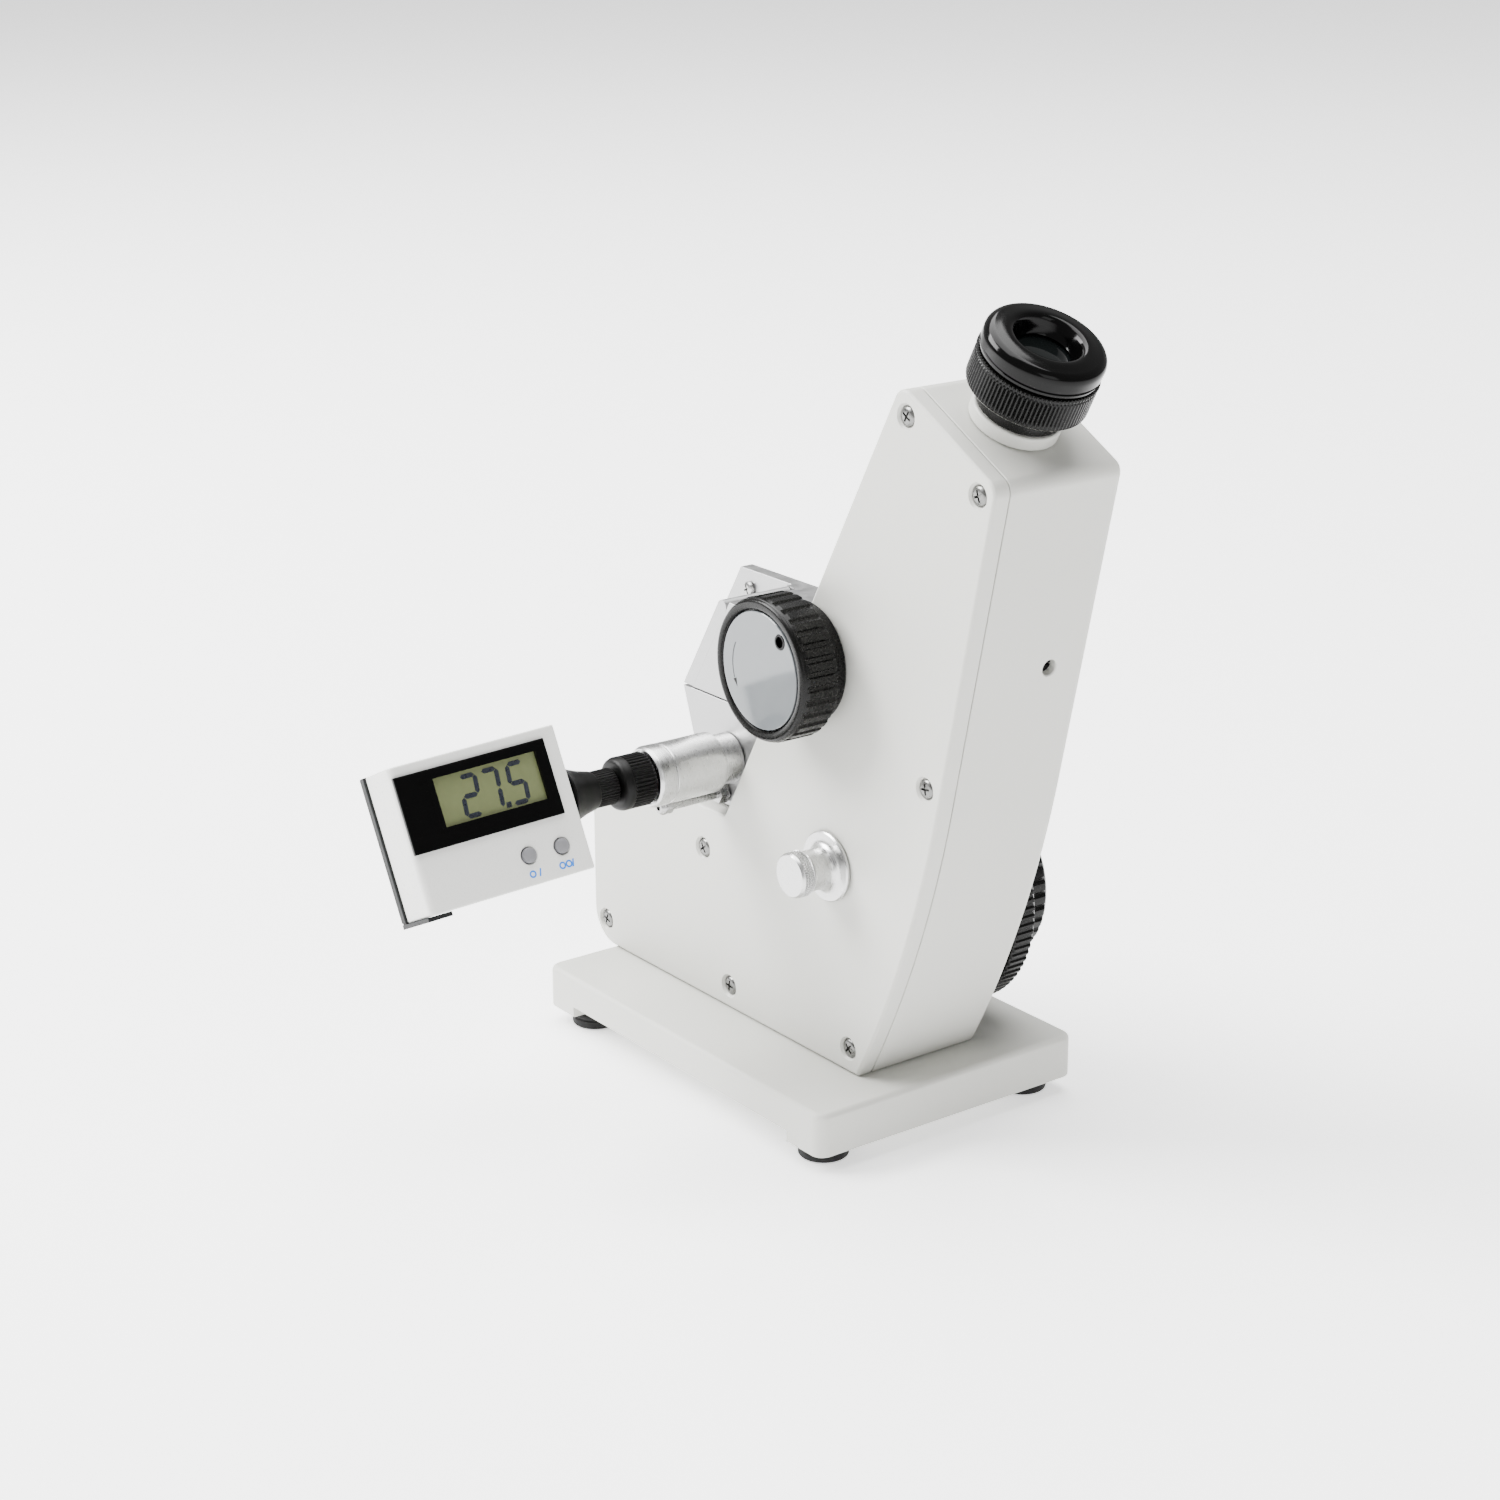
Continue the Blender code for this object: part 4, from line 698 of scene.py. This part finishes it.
def build_condenser():
    """The flanged seat on the cover and its knurled cap."""
    at = across(*CONDENSER)
    seat = [
        (3.4, 18.2), (5.3, 18.2), (5.3, 23.6), (10.2, 23.6), (10.5, 23.9), (10.5, 24.5),
        (10.1, 24.9),
    ]
    seat += [
        (8.6, 25.0), *reversed(arc(8.6, 27.6, 2.6, 180, 270, 8)), (6.0, 32.4), (5.8, 32.6),
        (3.4, 32.6),
    ]
    made = moved(lathe(seat, 96), at)
    piece("condenser_flange", made, TURNED, "frame", ["condenser_seat"])
    steps = 56 * 4
    cap = [(0, 30.5), (3.1, 30.5), (3.1, 32.8), (6.3, 32.8), (6.7, 33.2)]
    bm = lathe(
        [
            *cap, (6.8, 33.4), *[(6.8, 33.4 + 0.2 * row) for row in range(1, 16)], (6.7, 36.6),
            (6.5, 37.0), (6.1, 37.5), (0, 37.6),
        ],
        steps,
    )
    for vert in bm.verts:
        height = vert.co.z
        reach = vert.co.xy.length
        if reach > 6.75 and 33.5 < height < 36.5:
            angle = atan2(vert.co.y, vert.co.x)
            weave = max(abs(sin(28 * angle + 4.6 * height)), abs(sin(28 * angle - 4.6 * height)))
            vert.co.xy *= 1 - 0.06 * weave**5
    piece("condenser_knob", moved(bm, at), TURNED, "condenser", ["condenser_cap"])


# ---------------------------------------------------------------- prism unit

NEAR = -19.5
FAR = 12.2
SEAM_LOW = 115.1
SEAM_HIGH = 115.5
NOSE_X = -35.2
UPPER_FRONT_X = -16.2
UPPER_TOP = 146.3
UPPER_CLEAR = 2.2
PLATE_FRONT_X = -42.0
PLATE_BOTTOM = 115.7
PLATE_SCREW = (-36.8, 140.3)
UPPER_FRONT = front_frame((NOSE_X, SEAM_HIGH), (UPPER_FRONT_X, UPPER_TOP))
UPPER_SLOPE = sqrt((UPPER_FRONT_X - NOSE_X) ** 2 + (UPPER_TOP - SEAM_HIGH) ** 2)
LOWER_BOTTOM = 82.4
LOWER_FRONT_X = -23.9
LOWER_FRONT = front_frame((LOWER_FRONT_X, LOWER_BOTTOM), (NOSE_X, SEAM_LOW))
LOWER_SLOPE = sqrt((NOSE_X - LOWER_FRONT_X) ** 2 + (SEAM_LOW - LOWER_BOTTOM) ** 2)
SHIELD_UP = UPPER_SLOPE - 1.4
HINGE_Y = FAR + 2.9
HINGE_Z = 115.3
STEM = (-10.8, 98.3)
NOZZLE = (-13.7, 86.5)
LIE_Y = Matrix.Rotation(-pi / 2, 4, "X")


def along_x():
    """z axis along the hinge pin, which runs along x."""
    return Matrix.Translation((0, HINGE_Y, HINGE_Z)) @ Matrix.Rotation(pi / 2, 4, "Y")


def rod(radius, low, high, steps=40, chamfer=0.0):
    """A solid cylinder on z, with chamfered ends if asked."""
    ends = [(0, low), (radius - chamfer, low), (radius, low + chamfer), (radius, high - chamfer)]
    return lathe([*ends, (radius - chamfer, high), (0, high)], steps)


def knuckle(low, high, side):
    """A hinge knuckle with the web to its housing: side 1 is the upper housing, -1 the lower."""
    start = pi - asin(0.9 / 2.5)
    sweep = 2 * pi - asin(2.1 / 2.5) + asin(0.9 / 2.5)
    section = [(FAR - 1, HINGE_Z + side * 0.9)]
    for step in range(41):
        angle = start + sweep * step / 40
        section.append((HINGE_Y + 2.5 * cos(angle), HINGE_Z + side * 2.5 * sin(angle)))
    section.append((FAR - 1, HINGE_Z + side * 2.1))
    return moved(slab([(-y, z) for y, z in section], low, high), Matrix.Rotation(-pi / 2, 4, "Z"))


def build_prisms():
    """Both prism housings, their hinge pin, the two flaps, the mirror and the nozzles."""
    bore = lathe([(0, -80), (1.35, -80), (1.35, 60), (0, 60)], 32)
    upper = [(NOSE_X + 0.5, SEAM_HIGH), (UPPER_FRONT_X, UPPER_TOP)]
    upper += [(slant_x(UPPER_TOP, UPPER_CLEAR), UPPER_TOP), (slant_x(SEAM_HIGH, UPPER_CLEAR), SEAM_HIGH)]
    lean = (UPPER_FRONT_X - NOSE_X) / (UPPER_TOP - SEAM_HIGH)
    wing = [
        (PLATE_FRONT_X - lean * (UPPER_TOP - PLATE_BOTTOM), PLATE_BOTTOM),
        (PLATE_FRONT_X, UPPER_TOP),
    ]
    wing.append((slant_x(UPPER_TOP, UPPER_CLEAR), UPPER_TOP))
    wing.append((slant_x(PLATE_BOTTOM, UPPER_CLEAR), PLATE_BOTTOM))
    seat = moved(block((-2, 4.5), (NEAR - 5, 5.5), (-5, UPPER_SLOPE + 5)), UPPER_FRONT)
    stub = rod(1.4, 0, 9.0)
    moved(stub, Matrix.Translation(UPPER_FRONT @ Vector((2.1, 0, SHIELD_UP))) @ LIE_Y)
    cuts = [seat, stub, moved(rod(1.5, -FAR - 5, 0, 24), across(*PLATE_SCREW)), moved(bore, along_x())]
    cuts.append(block((-26, 2), (-12, 5), (SEAM_HIGH - 5, SEAM_HIGH + 12)))
    cuts.append(block((-40, -20), (-8, 3), (SEAM_HIGH + 3, SEAM_HIGH + 10)))
    main = round_all(slab(upper, NEAR, 8.5), 0.35, 3)
    wing = round_all(slab(wing, 7.5, FAR), 0.35, 3)
    third = 10.0
    joints = [wing, knuckle(-28 + third + GAP, 2 - third - GAP, 1)]
    nodes = ["upper_prism_housing"]
    piece("upper_housing", main, MILLED, "prism_lid", nodes, join=joints, cut=cuts)
    head = [
        (0, -11.2), (1.2, -11.2), (1.2, -7.2), (2.3, -7.2), (2.3, -6.7), (2.0, -6.2), (1.3, -5.95),
        (0, -5.9),
    ]
    slots = []
    for quarter in (0.4, 0.4 + pi / 2):
        arm = block((-1.5, 1.5), (-0.3, 0.3), (-6.7, -5))
        slots.append(moved(arm, across(*PLATE_SCREW) @ Matrix.Rotation(quarter, 4, "Z")))
    made = moved(lathe(head, 40), across(*PLATE_SCREW))
    piece("wing_screw", made, STEEL, "prism_lid", ["plate_screw"], cut=slots)

    lower = [(LOWER_FRONT_X, LOWER_BOTTOM), (-35.0, SEAM_LOW - 0.6), (-34.6, SEAM_LOW)]
    lower += [(slant_x(SEAM_LOW, GAP), SEAM_LOW), (slant_x(LOWER_BOTTOM, GAP), LOWER_BOTTOM)]
    seat = moved(block((-2, 3.9), (NEAR - 5, 8.9), (-5, LOWER_SLOPE + 5)), LOWER_FRONT)
    stub = rod(1.4, 0, 40)
    moved(stub, Matrix.Translation(LOWER_FRONT @ Vector((1.8, 0, 2.6))) @ LIE_Y)
    cuts = [seat, stub, moved(lathe([(0, -80), (1.35, -80), (1.35, 60), (0, 60)], 32), along_x())]
    cuts.append(block((-24, 0), (-12, 5), (SEAM_LOW - 11, SEAM_LOW + 5)))
    cuts.append(block((-4, 20), (-7, 4), (SEAM_LOW - 9.5, SEAM_LOW - 3)))
    cuts.append(moved(rod(6.3, 15.4, 40, 48), across(*STEM)))
    cuts.append(moved(rod(2.6, -8, 30, 32), across(*STEM)))
    cuts.append(moved(rod(1.9, 14, 40, 24), across(*NOZZLE)))
    cuts.append(moved(rod(1.9, FAR - 5.5, 40, 24), beyond(*NOZZLE)))
    main = round_all(slab(lower, NEAR, FAR), 0.35, 3)
    joints = [knuckle(-28, -28 + third - GAP, -1), knuckle(2 - third + GAP, 2, -1)]
    nodes = ["lower_prism_housing"]
    piece("lower_housing", main, MILLED, "frame", nodes, join=joints, cut=cuts)
    made = moved(rod(1.2, -28.8, 2.8, 32, 0.3), along_x())
    piece("hinge_pin", made, STEEL, "frame", ["prism_hinge_pin"])

    def flap(base, thick, up, reach, far, stub_end):
        """A plate with a round end on its pivot, lying on a housing's front, and its stub."""
        ends = sorted((up, up + reach))
        shapes = [block((0, thick), (NEAR + GAP, far), ends)]
        hub = rod(thick / 2, NEAR + GAP, far, 48)
        shapes.append(moved(hub, Matrix.Translation((thick / 2, 0, up)) @ LIE_Y))
        shapes.append(
            moved(rod(1.2, far - 2, stub_end, 32), Matrix.Translation((thick / 2, 0, up)) @ LIE_Y)
        )
        return [moved(shape, base) for shape in shapes]

    shapes = flap(UPPER_FRONT, 4.2, SHIELD_UP, -SHIELD_UP - 3, 5.2, 8.6)
    below = block((-60, 10), (-40, 40), (SEAM_HIGH - 20, SEAM_HIGH + 0.2))
    piece(
        "light_shield_flap", shapes[0], MILLED, "shield", ["light_shield"],
        join=shapes[1:], cut=[below],
    )
    shapes = flap(LOWER_FRONT, 3.6, 2.6, LOWER_SLOPE + 0.4, 8.6, 12.0)
    above = block((-60, 10), (-40, 40), (SEAM_LOW - 0.2, SEAM_LOW + 20))
    tray = moved(block((1.6, 9), (NEAR + 2.3, 6.6), (7, LOWER_SLOPE - 4)), LOWER_FRONT)
    nodes = ["reflector_frame"]
    piece(
        "reflector_flap", shapes[0], MILLED, "reflector", nodes, join=shapes[1:],
        cut=[above, tray],
    )
    glass = moved(block((1.75, 3.4), (NEAR + 2.6, 6.3), (7.3, LOWER_SLOPE - 4.3)), LOWER_FRONT)
    piece(
        "reflector_glass", round_all(glass, 0.15, 2), MIRROR, "reflector", ["reflector_mirror"],
    )

    sides = (("nozzle_near", across(*NOZZLE), -NEAR), ("nozzle_far", beyond(*NOZZLE), FAR))
    for name, at, wall in sides:
        end = wall + 24.6
        pipe = [(0.9, wall - 5), (1.6, wall - 5), (1.6, end - 4.6), (2.4, end - 4.0), (2.5, end - 3.4)]
        pipe += [(2.1, end - 1.8), (2.5, end - 1.6), (2.4, end - 1.0), (1.7, end), (0.9, end)]
        nut = [
            (1.5, wall + GAP), (3.2, wall + GAP), (3.3, wall + 0.5), (3.3, wall + 3.2),
            (3.1, wall + 3.5), (1.5, wall + 3.5),
        ]
        made = moved(lathe(pipe, 48), at)
        piece(f"{name}_pipe", made, STEEL, "frame", [name], join=[moved(lathe(nut, 6), at)])


# ---------------------------------------------------------------- thermometer

HALF = 9.75
STEM_TOP = -80.5
DISPLAY_NEAR = -81.0
DISPLAY_LOW = -134.4
DISPLAY_UP = 20.7
DISPLAY_DOWN = 22.1
BEZEL_Y = (-134.1, -85.7)
BEZEL_Z = (-4.8, 17.6)
SCREEN_Y = (-122.6, -89.4)
SCREEN_Z = (0.5, 14.6)
BUTTON_UP = -13.5
BUTTONS = {"power_button": -100.2, "unit_button": -89.4}


def display_frame():
    """On the stem's axis: x out of the display's face, y along the face, z up it."""
    joint = Matrix.Translation((0, STEM_TOP, 0))
    askew = Matrix.Rotation(radians(1.9), 4, "X") @ Matrix.Rotation(radians(-3.4), 4, "Z")
    tilt = Matrix.Rotation(radians(-25.6), 4, "Y")
    return Matrix.Translation((STEM[0], 0, STEM[1])) @ tilt @ joint @ askew @ joint.inverted()


def face_plate(points, depth, thick):
    """A flat mark of (along the face, up the face) points at a depth on the display's face."""
    bm = bmesh.new()
    base = bm.faces.new([bm.verts.new((depth, y, z)) for y, z in points])
    grown = bmesh.ops.extrude_face_region(bm, geom=[base])["geom"]
    lifted = [item for item in grown if isinstance(item, bmesh.types.BMVert)]
    bmesh.ops.translate(bm, verts=lifted, vec=(thick, 0, 0))
    bmesh.ops.recalc_face_normals(bm, faces=bm.faces)
    return bm


def segment(start, end, width):
    """The six-sided bar of a seven-segment digit."""
    along = (Vector(end) - Vector(start)).normalized()
    side = Vector((-along.y, along.x)) * width / 2
    a, b = Vector(start) + along * 0.12, Vector(end) - along * 0.12
    cap = along * width / 2
    return [a, a + cap + side, b - cap + side, b, b - cap - side, a + cap - side]


def digit_marks(which, left, low, width, height, bar):
    """The lit segments of one digit, leaning a little to the right."""
    corners = {
        "a": ((0, 1), (1, 1)), "b": ((1, 1), (1, 0.5)), "c": ((1, 0.5), (1, 0)), "d": ((0, 0), (1, 0)),
        "e": ((0, 0.5), (0, 0)), "f": ((0, 1), (0, 0.5)), "g": ((0, 0.5), (1, 0.5)),
    }
    marks = []
    for key in which:
        ends = []
        for along, up in corners[key]:
            ends.append((left + along * width + up * height * 0.09, low + up * height))
        marks.append(segment(ends[0], ends[1], bar))
    return marks


def build_thermometer():
    """Sleeve, gland nut, probe stem, and the display with its window, marks and buttons."""
    at = across(*STEM)
    wall, end, nut_end, case = -NEAR, 51.0, 62.0, -STEM_TOP + 0.3
    sleeve = [
        (4.3, wall - 3.8), (6.0, wall - 3.8), (6.0, wall + GAP), (7.3, wall + GAP),
        (7.6, wall + 0.5),
    ]
    sleeve += [
        (7.7, wall + 0.9), (7.7, wall + 7.2), (8.6, wall + 7.4), (9.1, wall + 7.9),
        (9.2, wall + 9.0),
    ]
    sleeve += [(9.2, end - 6.6), (9.0, end - 6.2), (8.7, end - 6.1), (8.7, end - 5.5), (9.0, end - 5.4)]
    sleeve += [
        (9.3, end - 5.0), (9.3, end - 1.2), (9.0, end - 0.6), (8.6, end), (8.2, end),
        (8.2, end - 0.8),
    ]
    sleeve += [(5.4, end - 0.8), (5.4, end - 8), (4.3, end - 8)]
    piece(
        "probe_sleeve", moved(lathe(sleeve, 96), at), TURNED, "frame", ["thermometer_sleeve"],
    )
    ribs = (0, 0, 0.7, 1, 0.7)
    nut = [(4.2, end - 6), (5.2, end - 6), (5.2, end + GAP), (7.6, end + GAP), (7.95, end + 0.7, 0.1)]
    nut += [
        (8.0, end + 1.1, 0.4), (8.0, nut_end - 3.2, 0.4), (8.05, nut_end - 3.0, 0.0),
        (8.05, nut_end - 1.8),
    ]
    nut += [(7.7, nut_end - 0.8), (7.1, nut_end - 0.2), (6.4, nut_end), (4.2, nut_end)]
    piece(
        "gland_grip", moved(lathe(nut, 44 * 5, ribs), at), SOFT_BLACK, "gland", ["gland_nut"],
    )
    stem = [
        (0, -7), (1.2, -6.2), (2.2, -4.5), (2.2, wall - 3), (3.9, wall - 2), (3.9, nut_end + 0.6),
        (5.0, nut_end + 0.8),
    ]
    stem += [
        (5.5, nut_end + 1.3, 0.3), (5.5, case - 11.6, 0.3), (5.4, case - 11.2, 0),
        (5.8, case - 10.6, 0),
    ]
    stem += [(6.6, case - 7.0), (8.0, case - 3.0), (9.6, case - 0.6), (9.5, case - GAP), (0, case - GAP)]
    made = moved(lathe(stem, 40 * 5, ribs), at)
    piece("probe_stem", made, SOFT_BLACK, "thermometer", ["thermometer_probe"])

    base = display_frame()
    back = -HALF + 3.0
    heights = (-DISPLAY_DOWN, DISPLAY_UP)
    shell = block((back, HALF), (DISPLAY_LOW, DISPLAY_NEAR), heights)
    outer = []
    for edge in shell.edges:
        if all(vert.co.x > HALF - 0.01 and vert.co.y < DISPLAY_LOW + 0.01 for vert in edge.verts):
            outer.append(edge)
    bmesh.ops.bevel(shell, geom=outer, offset=2.0, segments=8, profile=0.5, affect="EDGES")
    round_all(shell, 0.6, 4, over=60)
    hollow = block(
        (back - 5, HALF - 2.0), (DISPLAY_LOW + 1.4, DISPLAY_NEAR - 2),
        (heights[0] + 2, heights[1] - 2),
    )
    opening = block(
        (0, HALF + 5), (BEZEL_Y[0] + 1.7, BEZEL_Y[1] - 1.7), (BEZEL_Z[0] + 1.4, BEZEL_Z[1] - 1.4),
    )
    cuts = [hollow, opening]
    out_of_face = {}
    for name, y in BUTTONS.items():
        out_of_face[name] = Matrix.Translation((0, y, BUTTON_UP)) @ Matrix.Rotation(pi / 2, 4, "Y")
        well = lathe([(0, 0), (2.45, 0), (2.45, HALF - 0.35), (2.8, HALF + 0.1), (2.8, 20), (0, 20)], 48)
        cuts.append(moved(well, out_of_face[name]))
    cuts = [moved(shape, base) for shape in cuts]
    made = moved(shell, base)
    piece("display_shell", made, WHITE, "thermometer", ["display_front"], cut=cuts)
    cover = block((-HALF, back - 0.1), (DISPLAY_LOW - 0.6, DISPLAY_NEAR), (heights[0] + 0.2, heights[1]))
    lip = block(
        (-HALF + 0.3, HALF - 1.2), (DISPLAY_LOW - 0.6, DISPLAY_LOW + 7),
        (heights[0] - 1.4, heights[0] - 0.1),
    )
    tie = block(
        (-HALF + 0.3, back - 0.4), (DISPLAY_LOW - 0.3, DISPLAY_LOW + 6.8),
        (heights[0] - 1.2, heights[0] + 2),
    )
    made = moved(round_all(cover, 0.4, 3), base)
    piece(
        "display_rear", made, DARK, "thermometer", ["display_back"],
        join=[moved(lip, base), moved(tie, base)],
    )
    bezel = block((HALF - 0.5, HALF + 0.9), BEZEL_Y, BEZEL_Z)
    round_all(bezel, 0.25, 3, over=60)
    plug_y = (BEZEL_Y[0] + 2.0, BEZEL_Y[1] - 2.0)
    plug = block((HALF - 2.5, HALF + 0.2), plug_y, (BEZEL_Z[0] + 1.7, BEZEL_Z[1] - 1.7))
    screen = block((HALF - 0.9, HALF + 5), SCREEN_Y, SCREEN_Z)
    nodes = ["display_window"]
    shapes = [moved(shape, base) for shape in (bezel, plug, screen)]
    piece(
        "display_bezel", shapes[0], PANE, "thermometer", nodes, join=[shapes[1]],
        cut=[shapes[2]],
    )
    glass = block(
        (HALF - 1.2, HALF - 0.2), (SCREEN_Y[0] - 0.3, SCREEN_Y[1] + 0.3),
        (SCREEN_Z[0] - 0.3, SCREEN_Z[1] + 0.3),
    )
    piece("display_lcd", moved(glass, base), LCD, "thermometer")
    marks = []
    left = SCREEN_Y[0] + 7.6
    low = SCREEN_Z[0] + 1.2
    marks += digit_marks("abged", left, low, 4.7, 11.2, 1.4)
    marks += digit_marks("abc", left + 6.9, low, 4.7, 11.2, 1.4)
    marks += digit_marks("afgcd", left + 15.2, low, 4.7, 11.2, 1.4)
    dot = left + 13.4
    corners = ((-0.8, 0), (0.8, 0), (0.95, 1.6), (-0.65, 1.6))
    marks.append([Vector((dot + along, low - 0.6 + up)) for along, up in corners])
    plates = []
    for mark in marks:
        plates.append(face_plate([tuple(point) for point in mark], HALF - 0.21, 0.05))
    joined = join_shapes(plates)
    piece("display_digits", moved(joined, base), DIGIT, "thermometer")

    stalk = HALF - 4.6
    for name, place in out_of_face.items():
        cap = [(0, stalk), (3.4, stalk), (3.4, stalk + 1.0), (2.2, stalk + 1.0), (2.2, HALF + 0.4)]
        cap += [(2.1, HALF + 0.8), (1.7, HALF + 1.05), (0.9, HALF + 1.15), (0, HALF + 1.2)]
        made = moved(lathe(cap, 56), base @ place)
        piece(f"{name}_cap", made, BUTTON, name.split("_")[0], [name])
    low = BUTTON_UP - 5.4
    spots = {"power": BUTTONS["power_button"], "unit": BUTTONS["unit_button"]}
    for name, y in spots.items():
        rings = []
        for shift in (-1.5, 0.6) if name == "unit" else (-0.45,):
            ring = lathe([(0.6, 0), (1.1, 0), (1.1, 0.04), (0.6, 0.04)], 32)
            turn = Matrix.Translation((HALF + 0.001, y + shift, low)) @ Matrix.Rotation(pi / 2, 4, "Y")
            rings.append(moved(ring, turn))
        bar = [(y + 1.4, low - 1.1), (y + 1.9, low - 1.1), (y + 2.5, low + 1.1), (y + 2.0, low + 1.1)]
        rings.append(face_plate(bar, HALF + 0.001, 0.04))
        piece(f"{name}_mark", moved(join_shapes(rings), base), BLUE, "thermometer")


# ---------------------------------------------------------------- inside pieces, floor, light, camera


def carry_the_rest():
    """Better materials for the inner CAD nodes, whose shapes stay."""
    steel = ("base_bolt_front", "base_bolt_back", "mirror_pivot_pin", "index_shaft", "lock_spindle")
    steel += ("dispersion_shaft", "compensator_cell_lower", "compensator_cell_upper")
    for node in steel:
        carry(node, STEEL)
    for node in ("objective_lens", "reticle", "refracting_prism", "incident_prism", "scale_disc"):
        carry(node, LENS)
    carry("telescope_barrel", SOFT_BLACK)
    carry("calibration_screw", SOFT_BLACK)
    carry("swing_mirror", MIRROR)


def build_studio():
    """A pale floor, an even white surround and three soft lamps."""
    floor = bpy.data.objects.new("floor", bpy.data.meshes.new("floor"))
    bm = bmesh.new()
    bmesh.ops.create_grid(bm, x_segments=1, y_segments=1, size=6.0)
    bm.to_mesh(floor.data)
    bm.free()
    floor.location = (0, 0, -0.0001)
    floor.data.materials.append(FLOOR)
    bpy.context.scene.collection.objects.link(floor)
    world = bpy.data.worlds.new("studio")
    world.use_nodes = True
    world.node_tree.nodes["Background"].inputs["Color"].default_value = (1, 1, 1, 1)
    world.node_tree.nodes["Background"].inputs["Strength"].default_value = 0.5
    bpy.context.scene.world = world
    target = Vector((0, 0, 0.11))
    lamps = (
        ("key", (-1.3, -1.3, 1.6), 1.3, 165),
        ("top", (-0.5, 0.1, 2.4), 2.4, 170),
        ("side", (2.1, -0.5, 0.8), 1.0, 8),
    )
    for name, place, size, power in lamps:
        light = bpy.data.lights.new(name, "AREA")
        light.size = size
        light.energy = power
        lamp = bpy.data.objects.new(name, light)
        lamp.location = place
        lamp.rotation_euler = (target - Vector(place)).to_track_quat("-Z", "Y").to_euler()
        bpy.context.scene.collection.objects.link(lamp)


CAMERA_AZIMUTH = radians(-36.53)
CAMERA_ELEVATION = radians(18.67)
CAMERA_ROLL = radians(-0.22)
CAMERA_LENS = 72.385
CAMERA_PLACE = (0.6813, -0.5249, 0.3900)


def build_camera():
    """The camera, at the angle from which the instrument is seen."""
    data = bpy.data.cameras.new("camera")
    data.lens = CAMERA_LENS
    data.sensor_width = 36.0
    data.clip_end = 50
    camera = bpy.data.objects.new("camera", data)
    around = Matrix.Rotation(CAMERA_AZIMUTH, 4, "Z")
    turn = around @ Matrix.Rotation(-CAMERA_ELEVATION, 4, "Y")
    back = turn @ Vector((1, 0, 0))
    level = Matrix.Rotation(CAMERA_ROLL, 4, back)
    right = level @ turn @ Vector((0, 1, 0))
    up = back.cross(right)
    matrix = Matrix.Identity(4)
    for column, axis in enumerate((right, up, back)):
        for row in range(3):
            matrix[row][column] = axis[row]
    matrix.translation = SHIFT + Vector(CAMERA_PLACE)
    camera.matrix_world = matrix
    bpy.context.scene.collection.objects.link(camera)
    bpy.context.scene.camera = camera


build_body()
build_eyepiece()
build_knobs()
build_condenser()
build_prisms()
build_thermometer()
carry_the_rest()
build_studio()
build_camera()
